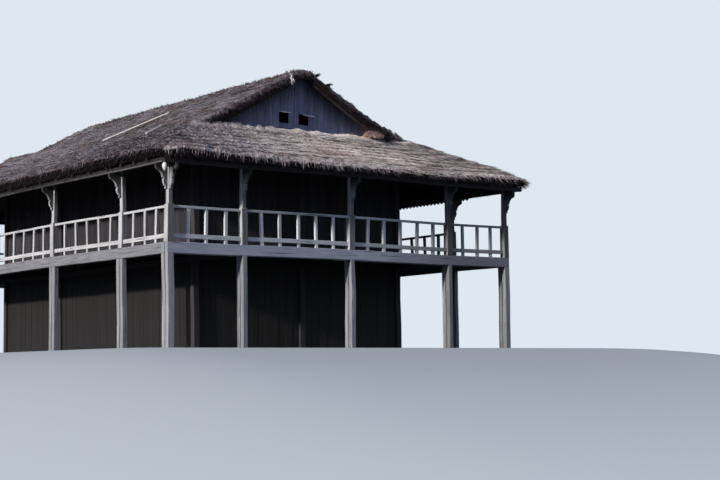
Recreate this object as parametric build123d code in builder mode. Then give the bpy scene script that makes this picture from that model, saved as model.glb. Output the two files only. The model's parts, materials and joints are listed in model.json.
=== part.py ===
from build123d import *
import os
from math import atan, atan2, ceil, cos, degrees, hypot, radians, sin, tan

# A two-storey timber house on stilts. A boarded room stands in the middle of each storey, an open
# gallery runs round it, and a thatched hip roof with a boarded gable at each end covers the whole.
# Millimetres. The origin is on the ground in the middle of the plan, +X runs along the gable front
# to the right, +Y runs back along the house, +Z is up.

# Plan, between the centre lines of the posts
room_bay_x = 3640
bay_count_x = 2
room_bay_y = 3990
bay_count_y = 3
side_gallery = 2290
end_gallery = 2420

# Levels above the ground
floor_level = 2780
rail_height = 960
eave_level = 4758
room_plate_level = 6040
ridge_level = 8006

# Stilts, in pairs that stand one behind the other
stilt = 140
stilt_gap = 40
corner_stilt = 190

# Floor timbers
beam_depth = 290
side_beam_width = 190
cross_beam_width = 150
cross_beam_depth = 155
joist_width = 60
joist_depth = 100
joist_pitch = 800
floor_thickness = 35

# Gallery posts: a square base up to the rail, a shoulder and a slimmer chamfered shaft
post_base = 190
post_shaft = 140
shaft_chamfer = 18
base_above_rail = 30
shoulder = 20

# Carved brackets between the shafts and the eave purlins
bracket_foot_level = 1370
bracket_thickness = 80
bracket_reach = 350
bracket_foot = 60
bracket_foot_height = 45
bracket_drop = 70

# Points of a bracket's carved edge, as shares of its reach and of its height: the lower lobe, the notch
# that parts it from the upper lobe, the hollow of that lobe, its knee and the lip under the seat
lobe = (0.33, 0.22)
lobe_end = (0.29, 0.44)
notch = (0.40, 0.44)
hollow = (0.52, 0.62)
knee = (0.80, 0.74)
lip = (0.96, 0.80)

# Railings
rail_width = 90
top_rail_depth = 65
bottom_rail_depth = 110
bottom_rail_clearance = 110
baluster_width = 85
baluster_depth = 70
baluster_pitch = 620

# Room walls
room_post = 180
wall_thickness = 45
lower_wall_clearance = 90
door_width = 950
door_height = 1950

# Roof timbers
plate_width = 140
plate_depth = 150
purlin_width = 110
purlin_depth = 120
purlin_offset = 330
rafter_width = 70
rafter_rise = 130
rafter_pitch = 1000
ridge_beam_width = 120
ridge_beam_depth = 200
apex_gap = 1

# Thatch, measured plumb, and the rounded corners of its eaves
overhang = 780
thatch_depth = 250
eave_undercut = 300
eave_corner_radius = 650
verge = 300
ridge_half_width = 350

# Courses of the thatch: their pitch down the slope, and how far the butts of each one stand out
course_pitch = 420
course_step = 50

# How far the planes that trim the roof run past its edges, as a share of the roof's run
run_past = 0.15

# Gable boards, their two openings and the flaps propped over them
gable_thickness = 40
loft_opening_width = 350
loft_opening_height = 320
loft_opening_pitch = 710
loft_opening_shift = -205
loft_sill_rise = 260
flap_thickness = 25
flap_length = 150
flap_angle = 35

# Sheet under the thatch of the right eave
sheet_thickness = 24
sheet_width = 420
sheet_setback = 20

# Turned drop under the corner where the eave purlins of the front and the left meet
drop_width = 130
drop_shoulder = 80
drop_belly = 50
drop_taper = 92
drop_tip = 36
drop_stem = 24
drop_stem_length = 80

# Bleached poles left on the thatch: a bamboo on the upper left slope, and a stick that bridges the
# break between the upper and the lower slope, from the butts of one course to those of another. Places
# are distances to the left of the ridge and behind the middle of the house
bamboo_pole = 75
bamboo_foot = (3130, 230)
bamboo_head = (1580, -1200)
roof_stick = 45
stick_foot_back = -4000
stick_head_back = -3630
pole_seat_gap = 0.3

# Lines worked out from the sizes above
room_x = bay_count_x * room_bay_x / 2
room_y = bay_count_y * room_bay_y / 2
post_x = room_x + side_gallery
post_y = room_y + end_gallery
eave_x = post_x + overhang
eave_y = post_y + overhang
face_x = post_x + post_base / 2
face_y = post_y + post_base / 2
beam_underside = floor_level - beam_depth
joist_top = floor_level - floor_thickness
cross_beam_top = joist_top - joist_depth
pair_depth = 2 * stilt + stilt_gap
skirt_rise = room_plate_level - eave_level
end_slope = skirt_rise / (end_gallery + overhang)
side_slope = skirt_rise / (side_gallery + overhang)
main_slope = (ridge_level - room_plate_level) / room_x
skirt_courses = round(hypot(end_gallery + overhang, skirt_rise) / course_pitch)
upper_courses = round(hypot(1, main_slope) * (room_x - ridge_half_width) / course_pitch)

os.makedirs("parts", exist_ok=True)


def stations(bays, bay, gallery):
    """Centre lines of the posts: the outer row, the corners and bays of the room, the outer row."""
    half = bays * bay / 2
    return [-half - gallery] + [-half + i * bay for i in range(bays + 1)] + [half + gallery]


def rows(limit, pitch):
    """Evenly spaced lines from -limit to +limit, no further apart than the pitch."""
    gaps = ceil(2 * limit / pitch)
    return [-limit + 2 * limit * i / gaps for i in range(gaps + 1)]


def skirt_underside(slope, outboard):
    """Level of the underside of the lower rafters, at a distance outside the outer posts."""
    return eave_level + slope * (overhang - outboard)


x_lines = stations(bay_count_x, room_bay_x, side_gallery)
y_lines = stations(bay_count_y, room_bay_y, end_gallery)


# Stilts: each foot is two timbers, one behind the other, under the outer beams
with BuildPart() as stilts:
    for x in x_lines:
        width = corner_stilt if abs(x) == post_x else stilt
        shift = (post_base - width) / 2 * ((x > 0) - (x < 0)) if abs(x) == post_x else 0
        for side in (-1, 1):
            for inset in (stilt / 2, pair_depth - stilt / 2):
                with BuildSketch():
                    with Locations((x + shift, side * (face_y - inset))):
                        Rectangle(width, stilt)
                extrude(amount=beam_underside)
    for y in y_lines[1:-1]:
        for side in (-1, 1):
            for step in (-1, 1):
                with BuildSketch():
                    with Locations((side * (face_x - stilt / 2), y + step * (pair_depth - stilt) / 2)):
                        Rectangle(stilt, stilt)
                extrude(amount=beam_underside)
stilts.part.label = "stilts"
export_step(stilts.part, "parts/stilts.step")

# Beams across the ends of the house, doubled over the pairs of stilts
with BuildPart() as end_beams:
    with BuildSketch(Plane.XY.offset(beam_underside)):
        for side in (-1, 1):
            for inset in (stilt / 2, pair_depth - stilt / 2):
                with Locations((0, side * (face_y - inset))):
                    Rectangle(2 * face_x, stilt)
    extrude(amount=beam_depth)
end_beams.part.label = "end_beams"
export_step(end_beams.part, "parts/end_beams.step")

# Beams along the two sides, between the doubled ones
beam_run = 2 * (face_y - pair_depth)
with BuildPart() as side_beams:
    with BuildSketch(Plane.XY.offset(beam_underside)):
        with GridLocations(2 * face_x - side_beam_width, 0, 2, 1):
            Rectangle(side_beam_width, beam_run)
    extrude(amount=beam_depth)
side_beams.part.label = "side_beams"
export_step(side_beams.part, "parts/side_beams.step")

# Inner beams on the lines of the room's posts, which carry the joists
with BuildPart() as cross_beams:
    with BuildSketch(Plane.XY.offset(cross_beam_top - cross_beam_depth)):
        with Locations(*[(x, 0) for x in x_lines[1:-1]]):
            Rectangle(cross_beam_width, beam_run)
    extrude(amount=cross_beam_depth)
cross_beams.part.label = "cross_beams"
export_step(cross_beams.part, "parts/cross_beams.step")

# Joists across the house, with one over each end wall of the room
floor_x = 2 * (face_x - side_beam_width)
joist_lines = rows(room_y, joist_pitch)
edge_joist = beam_run / 2 - joist_width
outer_count = ceil((edge_joist - room_y) / joist_pitch)
outer_step = (edge_joist - room_y) / outer_count
for i in range(1, outer_count + 1):
    joist_lines += [-room_y - i * outer_step, room_y + i * outer_step]
with BuildPart() as floor_joists:
    with BuildSketch(Plane.XY.offset(cross_beam_top)):
        with Locations(*[(0, y) for y in joist_lines]):
            Rectangle(floor_x, joist_width)
    extrude(amount=joist_depth)
floor_joists.part.label = "floor_joists"
export_step(floor_joists.part, "parts/floor_joists.step")

# Upper floor, flush with the tops of the outer beams
with BuildPart() as upper_floor:
    with BuildSketch(Plane.XY.offset(joist_top)):
        Rectangle(floor_x, beam_run)
    extrude(amount=floor_thickness)
upper_floor.part.label = "upper_floor"
export_step(upper_floor.part, "parts/upper_floor.step")

# Posts of the room, on each storey at the same places
room_spots = [(x, y) for x in x_lines[1:-1] for y in (-room_y, room_y)]
room_spots += [(x, y) for y in y_lines[2:-2] for x in (-room_x, room_x)]
room_plate_top = room_plate_level - max(end_slope, side_slope) * plate_width / 2
room_plate_underside = room_plate_top - plate_depth
for name, foot, top in (
    ("room_posts_lower", 0, cross_beam_top - cross_beam_depth),
    ("room_posts_upper", floor_level, room_plate_underside),
):
    with BuildPart() as room_posts:
        with BuildSketch(Plane.XY.offset(foot)):
            with Locations(*room_spots):
                Rectangle(room_post, room_post)
        extrude(amount=top - foot)
    room_posts.part.label = name
    export_step(room_posts.part, f"parts/{name}.step")


def wall_panels(lines, foot, top, door_bay):
    """Wall of boards between the posts on these lines, along X, with a doorway in one of its bays."""
    with BuildPart() as panels:
        for bay, (start, end) in enumerate(zip(lines, lines[1:])):
            middle = (start + end) / 2
            with BuildSketch(Plane.XZ):
                with Locations((middle, (foot + top) / 2)):
                    Rectangle(end - start - room_post, top - foot)
                if bay == door_bay:
                    with Locations((middle, foot + door_height / 2)):
                        Rectangle(door_width, door_height, mode=Mode.SUBTRACT)
            extrude(amount=wall_thickness / 2, both=True)
    return panels.part


# Walls of the room on both storeys: each one is built along X and turned to its side
lower_end_top = cross_beam_top
lower_side_top = cross_beam_top - cross_beam_depth
for side, turn, place, lines in (
    ("front", 0, (0, -room_y), x_lines[1:-1]),
    ("back", 180, (0, room_y), x_lines[1:-1]),
    ("left", -90, (-room_x, 0), y_lines[1:-1]),
    ("right", 90, (room_x, 0), y_lines[1:-1]),
):
    doorway = len(lines) // 2 - 1 if side == "right" else None
    lower_top = lower_end_top if side in ("front", "back") else lower_side_top
    for name, foot, top in (
        (f"lower_wall_{side}", lower_wall_clearance, lower_top),
        (f"upper_wall_{side}", floor_level, room_plate_underside),
    ):
        panels = wall_panels(lines, foot, top, doorway)
        with BuildPart() as wall:
            with Locations(Location((*place, 0), (0, 0, turn))):
                add(panels)
        wall.part.label = name
        export_step(wall.part, f"parts/{name}.step")

# Gallery posts: the outer rows, up to the plates under the rafters
end_plate_top = skirt_underside(end_slope, plate_width / 2)
side_plate_top = skirt_underside(side_slope, plate_width / 2)


def gallery_post(top):
    """One post on the outer row, standing on the beams at the origin of the plan."""
    base_top = floor_level + rail_height + base_above_rail
    with BuildPart() as post:
        with BuildSketch(Plane.XY.offset(floor_level)):
            Rectangle(post_base, post_base)
        extrude(amount=base_top - floor_level)
        chamfer(post.faces().sort_by(Axis.Z)[-1].edges(), shoulder)
        with BuildSketch(Plane.XY.offset(base_top)) as shaft:
            Rectangle(post_shaft, post_shaft)
            chamfer(shaft.vertices(), shaft_chamfer)
        extrude(amount=top - base_top)
    return post.part


end_post = gallery_post(end_plate_top - plate_depth)
side_post = gallery_post(side_plate_top - plate_depth)
with BuildPart() as gallery_posts:
    with Locations(*[(x, side * post_y) for x in x_lines for side in (-1, 1)]):
        add(end_post)
    with Locations(*[(side * post_x, y) for y in y_lines[1:-1] for side in (-1, 1)]):
        add(side_post)
gallery_posts.part.label = "gallery_posts"
export_step(gallery_posts.part, "parts/gallery_posts.step")

# Eave purlins outside the posts, carried by the brackets
end_purlin_top = skirt_underside(end_slope, purlin_offset + purlin_width / 2)
side_purlin_top = skirt_underside(side_slope, purlin_offset + purlin_width / 2)


def carved_bracket(purlin_underside):
    """Bracket on the +X face of a shaft: a square foot, two carved lobes with a notch, a flat seat."""
    foot = floor_level + bracket_foot_level
    height = purlin_underside - foot
    face = post_shaft / 2
    step = (face + bracket_foot / 2, foot + bracket_foot_height)
    seat = (face + bracket_reach, foot + height)
    seat_edge = (face + bracket_reach, foot + height - bracket_drop)

    def place(share):
        return (face + share[0] * bracket_reach, foot + share[1] * height)

    with BuildPart() as bracket:
        with BuildSketch(Plane.XZ):
            with BuildLine():
                Polyline(
                    (face, foot + height),
                    (face, foot),
                    (face + bracket_foot, foot),
                    (face + bracket_foot, foot + bracket_foot_height),
                    step,
                )
                ThreePointArc(step, place(lobe), place(lobe_end))
                Line(place(lobe_end), place(notch))
                ThreePointArc(place(notch), place(hollow), place(knee))
                ThreePointArc(place(knee), place(lip), seat_edge)
                Polyline(seat_edge, seat, (face, foot + height))
            make_face()
        extrude(amount=bracket_thickness / 2, both=True)
    return bracket.part


end_bracket = carved_bracket(end_purlin_top - purlin_depth)
side_bracket = carved_bracket(side_purlin_top - purlin_depth)
with BuildPart() as carved_brackets:
    for x in x_lines:
        with Locations(Location((x, -post_y, 0), (0, 0, -90)), Location((x, post_y, 0), (0, 0, 90))):
            add(end_bracket)
    for y in y_lines:
        with Locations(Location((-post_x, y, 0), (0, 0, 180)), Location((post_x, y, 0))):
            add(side_bracket)
carved_brackets.part.label = "carved_brackets"
export_step(carved_brackets.part, "parts/carved_brackets.step")


def railing_panel(bay):
    """Railing along X between two post bases: two rails, and balusters that stand on the beam."""
    clear = bay - post_base
    count = round(bay / baluster_pitch) - 1
    rail_top = floor_level + rail_height
    with BuildPart() as panel:
        with BuildSketch(Plane.XZ):
            with Locations((0, rail_top - top_rail_depth / 2)):
                Rectangle(clear, top_rail_depth)
            with Locations((0, floor_level + bottom_rail_clearance + bottom_rail_depth / 2)):
                Rectangle(clear, bottom_rail_depth)
        extrude(amount=rail_width / 2, both=True)
        with BuildSketch(Plane.XY.offset(floor_level)):
            with GridLocations(bay / (count + 1), 0, count, 1):
                Rectangle(baluster_width, baluster_depth)
        extrude(amount=rail_height - top_rail_depth)
    return panel.part


# Railings round the gallery: one panel a bay, and none in the front bay of the right side, the way in
for side, turn, lines, place in (
    ("front", 0, x_lines, lambda middle: (middle, -post_y)),
    ("back", 0, x_lines, lambda middle: (middle, post_y)),
    ("left", 90, y_lines, lambda middle: (-post_x, middle)),
    ("right", 90, y_lines[1:], lambda middle: (post_x, middle)),
):
    panels = [(place((start + end) / 2), railing_panel(end - start)) for start, end in zip(lines, lines[1:])]
    with BuildPart() as railing:
        for middle, panel in panels:
            with Locations(Location((*middle, 0), (0, 0, turn))):
                add(panel)
    railing.part.label = f"railing_{side}"
    export_step(railing.part, f"parts/railing_{side}.step")

# Horizontal roof timbers: across the ends first, then the ones along the sides that butt against them
for name, line_x, line_y, width, depth, end_top, side_top in (
    ("plates", post_x, post_y, plate_width, plate_depth, end_plate_top, side_plate_top),
    ("purlins", post_x + purlin_offset, post_y + purlin_offset, purlin_width, purlin_depth,
     end_purlin_top, side_purlin_top),
    ("room_plates", room_x, room_y, plate_width, plate_depth, room_plate_top, room_plate_top),
):
    with BuildPart() as end_timbers:
        with BuildSketch(Plane.XY.offset(end_top - depth)):
            with GridLocations(0, 2 * line_y, 1, 2):
                Rectangle(2 * line_x + width, width)
        extrude(amount=depth)
    end_timbers.part.label = f"end_{name}"
    export_step(end_timbers.part, f"parts/end_{name}.step")
    with BuildPart() as side_timbers:
        with BuildSketch(Plane.XY.offset(side_top - depth)):
            with GridLocations(2 * line_x, 0, 2, 1):
                Rectangle(width, 2 * line_y - width)
        extrude(amount=depth)
    side_timbers.part.label = f"side_{name}"
    export_step(side_timbers.part, f"parts/side_{name}.step")

# Ridge beam between the boarded gables
ridge_top = ridge_level - main_slope * ridge_beam_width / 2
with BuildPart() as ridge_beam:
    with BuildSketch(Plane.XY.offset(ridge_top - ridge_beam_depth)):
        Rectangle(ridge_beam_width, 2 * (room_y - gable_thickness))
    extrude(amount=ridge_beam_depth)
ridge_beam.part.label = "ridge_beam"
export_step(ridge_beam.part, "parts/ridge_beam.step")


def rafter(z_inner, run, slope, rise, inner=0):
    """Rafter along X whose underside falls from z_inner at x = 0, cut plumb at both ends."""
    with BuildPart() as timber:
        with BuildSketch(Plane.XZ):
            Polygon(
                (inner, z_inner - slope * inner),
                (run, z_inner - slope * run),
                (run, z_inner - slope * run + rise),
                (inner, z_inner - slope * inner + rise),
                align=None,
            )
        extrude(amount=rafter_width / 2, both=True)
    return timber.part


# Upper rafters, in pairs that lean together over the ridge beam
main_rafter = rafter(ridge_level, room_x, main_slope, rafter_rise, apex_gap)
rafter_lines_y = rows(room_y - gable_thickness - rafter_width / 2, rafter_pitch)
with BuildPart() as main_rafters:
    for y in rafter_lines_y:
        with Locations(Location((0, y, 0)), Location((0, y, 0), (0, 0, 180))):
            add(main_rafter)
main_rafters.part.label = "main_rafters"
export_step(main_rafters.part, "parts/main_rafters.step")


def beyond(start, limit, pitch):
    """Evenly spaced lines from just past start up to the limit."""
    count = ceil((limit - start) / pitch)
    return [start + (limit - start) * (i + 1) / (count + 1) for i in range(count)]


def hip_side(facing_x, inset):
    """Plan of the part of the roof that falls to one end (or side), between the two hips."""
    reach_x = run_past * (side_gallery + overhang)
    reach_y = run_past * (end_gallery + overhang)
    inner_x, inner_y = room_x - reach_x, room_y - reach_y
    outer_x, outer_y = eave_x + reach_x, eave_y + reach_y
    with BuildSketch() as plan:
        if facing_x:
            corners = ((inner_x, -inner_y), (outer_x, -outer_y), (outer_x, outer_y), (inner_x, inner_y))
        else:
            corners = ((-inner_x, -inner_y), (-outer_x, -outer_y), (outer_x, -outer_y), (inner_x, -inner_y))
        Polygon(*corners, align=None)
        if inset:
            offset(amount=-inset, kind=Kind.INTERSECTION)
    return plan.sketch


# Lower rafters over the gallery: full ones beside the room, and jack rafters cut off at the hips
end_rafter = rafter(room_plate_level, end_gallery + overhang - eave_undercut, end_slope, rafter_rise)
side_rafter = rafter(room_plate_level, side_gallery + overhang - eave_undercut, side_slope, rafter_rise)
end_lines = rows(room_x - rafter_width, rafter_pitch)
jack_x = beyond(room_x, post_x + purlin_offset, rafter_pitch)
jack_y = beyond(room_y, post_y + purlin_offset, rafter_pitch)
end_lines += jack_x + [-x for x in jack_x]
side_lines = rafter_lines_y + jack_y + [-y for y in jack_y]
front_plan = hip_side(False, rafter_width / 2)
right_plan = hip_side(True, rafter_width / 2)
with BuildPart() as front_rafters:
    with Locations(*[Location((x, -room_y, 0), (0, 0, -90)) for x in end_lines]):
        add(end_rafter)
    with BuildSketch():
        add(front_plan)
    extrude(amount=ridge_level, mode=Mode.INTERSECT)
with BuildPart() as right_rafters:
    with Locations(*[Location((room_x, y, 0)) for y in side_lines]):
        add(side_rafter)
    with BuildSketch():
        add(right_plan)
    extrude(amount=ridge_level, mode=Mode.INTERSECT)
with BuildPart() as skirt_rafters:
    with Locations(Location(), Location((0, 0, 0), (0, 0, 180))):
        add(front_rafters.part)
        add(right_rafters.part)
skirt_rafters.part.label = "skirt_rafters"
export_step(skirt_rafters.part, "parts/skirt_rafters.step")

# Hip rafters from the room's corners to the corners of the eaves
hip_run = hypot(side_gallery + overhang, end_gallery + overhang)
hip_turn = degrees(atan2(end_gallery + overhang, side_gallery + overhang))
hip_slope = skirt_rise / hip_run
hip_rise = rafter_rise - side_slope * rafter_width / 2
hip_end = hip_run - eave_corner_radius
hip_rafter = rafter(room_plate_level, hip_end, hip_slope, hip_rise, rafter_width)
with BuildPart() as hip_rafters:
    with Locations(
        Location((room_x, room_y, 0), (0, 0, hip_turn)),
        Location((-room_x, room_y, 0), (0, 0, 180 - hip_turn)),
        Location((-room_x, -room_y, 0), (0, 0, 180 + hip_turn)),
        Location((room_x, -room_y, 0), (0, 0, -hip_turn)),
    ):
        add(hip_rafter)
hip_rafters.part.label = "hip_rafters"
export_step(hip_rafters.part, "parts/hip_rafters.step")

# Thatch over the gallery, one skirt on each side, mitred at the hips and rounded at the eaves' corners
thatch_eave = eave_level + rafter_rise
thatch_break = room_plate_level + rafter_rise


# Metal sheet laid on the lower rafters along the right eave, under the thatch and out past its cut edge
sheet_outer = overhang - sheet_setback
sheet_inner = sheet_outer - sheet_width
with BuildPart() as eave_sheet:
    with BuildSketch(Plane.XZ):
        Polygon(
            (post_x + sheet_inner, skirt_underside(side_slope, sheet_inner) + rafter_rise),
            (post_x + sheet_outer, skirt_underside(side_slope, sheet_outer) + rafter_rise),
            (post_x + sheet_outer, skirt_underside(side_slope, sheet_outer) + rafter_rise + sheet_thickness),
            (post_x + sheet_inner, skirt_underside(side_slope, sheet_inner) + rafter_rise + sheet_thickness),
            align=None,
        )
    extrude(amount=room_y, both=True)
eave_sheet.part.label = "eave_sheet"
export_step(eave_sheet.part, "parts/eave_sheet.step")


def courses(upper, lower, count):
    """Stepped top of a slope of thatch, from its lower end up: each course ends in a row of butts."""
    fall = (Vector(lower) - Vector(upper)) / count
    points = []
    for i in range(count, 0, -1):
        butts = Vector(upper) + fall * i
        points += [butts, butts - fall - Vector(0, course_step)]
    return points


def skirt_thatch(inner, gallery, slope, plan):
    """Thatch that falls along +X from the room's wall to the eave, cut to its plan between the hips."""
    run = gallery + overhang
    upper = (inner, thatch_break + thatch_depth)
    lower = (inner + run, thatch_eave + thatch_depth)
    with BuildPart() as skirt:
        with BuildSketch(Plane.XZ):
            Polygon(
                (inner, thatch_break),
                (inner + run - eave_undercut, thatch_break - slope * (run - eave_undercut)),
                *courses(upper, lower, skirt_courses),
                align=None,
            )
        extrude(amount=2 * eave_y, both=True)
        with BuildSketch():
            add(plan)
        extrude(amount=ridge_level, mode=Mode.INTERSECT)
    return skirt.part


with BuildSketch() as turned_plan:
    with Locations(Location((0, 0, 0), (0, 0, 90))):
        add(hip_side(False, 0))
end_skirt = skirt_thatch(room_y, end_gallery, end_slope, turned_plan.sketch)
side_skirt = skirt_thatch(room_x, side_gallery, side_slope, hip_side(True, 0))
skirts = {}
for side, skirt_form, turn in (
    ("front", end_skirt, -90),
    ("back", end_skirt, 90),
    ("right", side_skirt, 0),
    ("left", side_skirt, 180),
):
    with BuildPart() as skirt:
        with Locations(Location((0, 0, 0), (0, 0, turn))):
            add(skirt_form)
        with BuildSketch():
            RectangleRounded(2 * eave_x, 2 * eave_y, eave_corner_radius)
        extrude(amount=ridge_level, mode=Mode.INTERSECT)
        if side == "right":
            add(eave_sheet.part, mode=Mode.SUBTRACT)
    skirt.part.label = f"thatch_skirt_{side}"
    export_step(skirt.part, f"parts/thatch_skirt_{side}.step")
    skirts[side] = skirt.part

# Thatch on the two upper slopes, which runs past the gables and rests on the end skirts
main_run = room_y + verge
thatch_ridge_level = ridge_level + rafter_rise
shoulder_level = thatch_ridge_level + thatch_depth - main_slope * ridge_half_width
ridge_shoulder = (ridge_half_width, shoulder_level)
slope_foot = (room_x, thatch_break + thatch_depth)
for side, turn in (("right", 0), ("left", 180)):
    with BuildPart() as slope_thatch:
        with BuildSketch(Plane.XZ):
            Polygon(
                (ridge_half_width, shoulder_level - thatch_depth),
                (room_x, thatch_break),
                *courses(ridge_shoulder, slope_foot, upper_courses),
                align=None,
            )
        extrude(amount=main_run, both=True)
    with BuildPart() as thatch:
        with Locations(Location((0, 0, 0), (0, 0, turn))):
            add(slope_thatch.part)
        add(skirts["front"], mode=Mode.SUBTRACT)
        add(skirts["back"], mode=Mode.SUBTRACT)
    thatch.part.label = f"thatch_{side}"
    export_step(thatch.part, f"parts/thatch_{side}.step")

# Thatch over the ridge, rounded where it turns from one slope to the other
pitch = atan(main_slope)
crest_radius = ridge_half_width / sin(pitch)
crest = (0, shoulder_level + crest_radius * (1 - cos(pitch)))
with BuildPart() as thatch_ridge:
    with BuildSketch(Plane.XZ):
        with BuildLine():
            sides = Polyline(
                (-ridge_half_width, shoulder_level),
                (-ridge_half_width, shoulder_level - thatch_depth),
                (0, thatch_ridge_level),
                (ridge_half_width, shoulder_level - thatch_depth),
                (ridge_half_width, shoulder_level),
            )
            ThreePointArc(sides @ 1, crest, sides @ 0)
        make_face()
    extrude(amount=main_run, both=True)
thatch_ridge.part.label = "thatch_ridge"
export_step(thatch_ridge.part, "parts/thatch_ridge.step")


# Poles on the left slopes: round bars that lie on the butts of the courses
def pole_end(place, thickness):
    """Middle of a pole's end on the line of the butts, at a place out from the ridge and back."""
    out, back = place
    slope = main_slope if out < room_x else side_slope
    level = thatch_break + thatch_depth + slope * (room_x - out)
    away = Vector(-sin(atan(slope)), 0, cos(atan(slope)))
    return Vector(-out, back, level) + away * (thickness / 2 + pole_seat_gap)


stick_foot = (room_x + (side_gallery + overhang) / skirt_courses, stick_foot_back)
stick_head = (room_x - (room_x - ridge_half_width) / upper_courses, stick_head_back)
with BuildPart() as roof_poles:
    for foot, head, thickness in (
        (bamboo_foot, bamboo_head, bamboo_pole),
        (stick_foot, stick_head, roof_stick),
    ):
        start = pole_end(foot, thickness)
        along = pole_end(head, thickness) - start
        with BuildSketch(Plane(origin=start, z_dir=along)):
            Circle(thickness / 2)
        extrude(amount=along.length)
roof_poles.part.label = "roof_poles"
export_step(roof_poles.part, "parts/roof_poles.step")

# Front gable's openings stand this far above the thatch at its foot
loft_opening_sill = thatch_break + thatch_depth + loft_sill_rise


def gable_boards(with_openings):
    """Boarded gable at the origin of the plan, from the room's plate up to the thatch."""
    with BuildPart() as boards:
        with BuildSketch(Plane.XZ):
            Polygon(
                (-room_x, room_plate_top),
                (room_x, room_plate_top),
                (room_x, thatch_break),
                (0, thatch_ridge_level),
                (-room_x, thatch_break),
                align=None,
            )
            if with_openings:
                with Locations((loft_opening_shift, loft_opening_sill + loft_opening_height / 2)):
                    with GridLocations(loft_opening_pitch, 0, 2, 1):
                        Rectangle(loft_opening_width, loft_opening_height, mode=Mode.SUBTRACT)
        extrude(amount=-gable_thickness)
    return boards.part


# Gables: the front one has two small openings
for name, openings, place in (
    ("gable_front", True, Location((0, -room_y, 0))),
    ("gable_back", False, Location((0, room_y, 0), (0, 0, 180))),
):
    boards = gable_boards(openings)
    with BuildPart() as gable:
        with Locations(place):
            add(boards)
    gable.part.label = name
    export_step(gable.part, f"parts/{name}.step")

# Flaps propped open over the two openings
flap_level = loft_opening_sill + loft_opening_height
flap_fall = flap_length * tan(radians(flap_angle))
with BuildPart() as gable_flaps:
    for side in (-1, 1):
        with BuildSketch(Plane.YZ.offset(loft_opening_shift + side * loft_opening_pitch / 2)):
            Polygon(
                (-room_y, flap_level),
                (-room_y, flap_level + flap_thickness),
                (-room_y - flap_length, flap_level + flap_thickness - flap_fall),
                (-room_y - flap_length, flap_level - flap_fall),
                align=None,
            )
        extrude(amount=loft_opening_width / 2, both=True)
gable_flaps.part.label = "gable_flaps"
export_step(gable_flaps.part, "parts/gable_flaps.step")

# Turned drop at the front left corner: a slim stem under the purlins, a shoulder, a belly and a taper
drop_top = end_purlin_top - purlin_depth - drop_stem_length
with BuildPart() as corner_drop:
    with BuildSketch(Plane.XZ.offset(post_y + purlin_offset)):
        Polygon(
            (0, drop_top + drop_stem_length),
            (-drop_stem / 2, drop_top + drop_stem_length),
            (-drop_stem / 2, drop_top),
            (-drop_width / 2, drop_top - drop_shoulder),
            (-drop_width / 2, drop_top - drop_shoulder - drop_belly),
            (-drop_tip / 2, drop_top - drop_shoulder - drop_belly - drop_taper),
            (0, drop_top - drop_shoulder - drop_belly - drop_taper),
            align=None,
        )
    revolve(axis=Axis((0, -post_y - purlin_offset, 0), (0, 0, 1)))
with BuildPart() as corner_pendant:
    with Locations((-post_x - purlin_offset, 0, 0)):
        add(corner_drop.part)
corner_pendant.part.label = "corner_pendant"
export_step(corner_pendant.part, "parts/corner_pendant.step")
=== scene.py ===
import json
from math import asin, atan2, cos, exp, hypot, pi, radians, sin

import bmesh
import bpy
import numpy as np
from mathutils import Matrix, Vector


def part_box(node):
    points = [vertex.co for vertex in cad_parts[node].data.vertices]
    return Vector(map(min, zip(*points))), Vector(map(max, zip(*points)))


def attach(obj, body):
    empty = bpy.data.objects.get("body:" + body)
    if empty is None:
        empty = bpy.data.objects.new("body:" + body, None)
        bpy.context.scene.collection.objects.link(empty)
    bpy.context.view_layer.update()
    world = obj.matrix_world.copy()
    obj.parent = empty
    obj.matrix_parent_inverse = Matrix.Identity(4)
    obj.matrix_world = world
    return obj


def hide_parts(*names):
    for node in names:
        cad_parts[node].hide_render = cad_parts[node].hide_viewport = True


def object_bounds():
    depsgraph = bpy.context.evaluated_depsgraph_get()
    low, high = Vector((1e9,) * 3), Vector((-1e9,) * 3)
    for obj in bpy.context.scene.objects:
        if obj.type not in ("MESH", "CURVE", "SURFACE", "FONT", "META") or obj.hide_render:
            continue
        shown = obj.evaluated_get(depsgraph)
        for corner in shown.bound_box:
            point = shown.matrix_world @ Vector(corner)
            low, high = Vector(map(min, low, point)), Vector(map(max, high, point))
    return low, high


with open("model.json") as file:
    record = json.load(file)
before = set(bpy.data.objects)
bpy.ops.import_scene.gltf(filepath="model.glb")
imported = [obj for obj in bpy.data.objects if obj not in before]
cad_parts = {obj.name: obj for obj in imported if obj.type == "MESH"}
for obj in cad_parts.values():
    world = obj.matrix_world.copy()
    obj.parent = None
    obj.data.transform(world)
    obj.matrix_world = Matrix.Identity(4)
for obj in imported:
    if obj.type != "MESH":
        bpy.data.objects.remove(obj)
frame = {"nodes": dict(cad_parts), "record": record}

solid_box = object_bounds()
box_low, box_high = np.array(solid_box[0]), np.array(solid_box[1])
nodes = frame["nodes"]

# The place the house is seen from: off its front left corner and a little below its feet, through a
# long lens that looks slightly up.
eye = Vector((-26.729, -42.988, -0.665))
heading = 0.6639
climb = 0.0852
roll = 0.0113
ahead = Vector((sin(heading) * cos(climb), cos(heading) * cos(climb), sin(climb)))
level_right = Vector((cos(heading), -sin(heading), 0))
level_up = level_right.cross(ahead)
view_right = level_right * cos(roll) - level_up * sin(roll)
view_up = level_right * sin(roll) + level_up * cos(roll)
camera = bpy.data.objects.new("camera", bpy.data.cameras.new("camera"))
camera.data.sensor_fit = "HORIZONTAL"
camera.data.sensor_width = 36
camera.data.lens = 77.84
camera.data.clip_end = 600
camera.matrix_world = Matrix.Translation(eye) @ Matrix((view_right, view_up, -ahead)).transposed().to_4x4()
bpy.context.scene.collection.objects.link(camera)
bpy.context.scene.camera = camera


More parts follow.
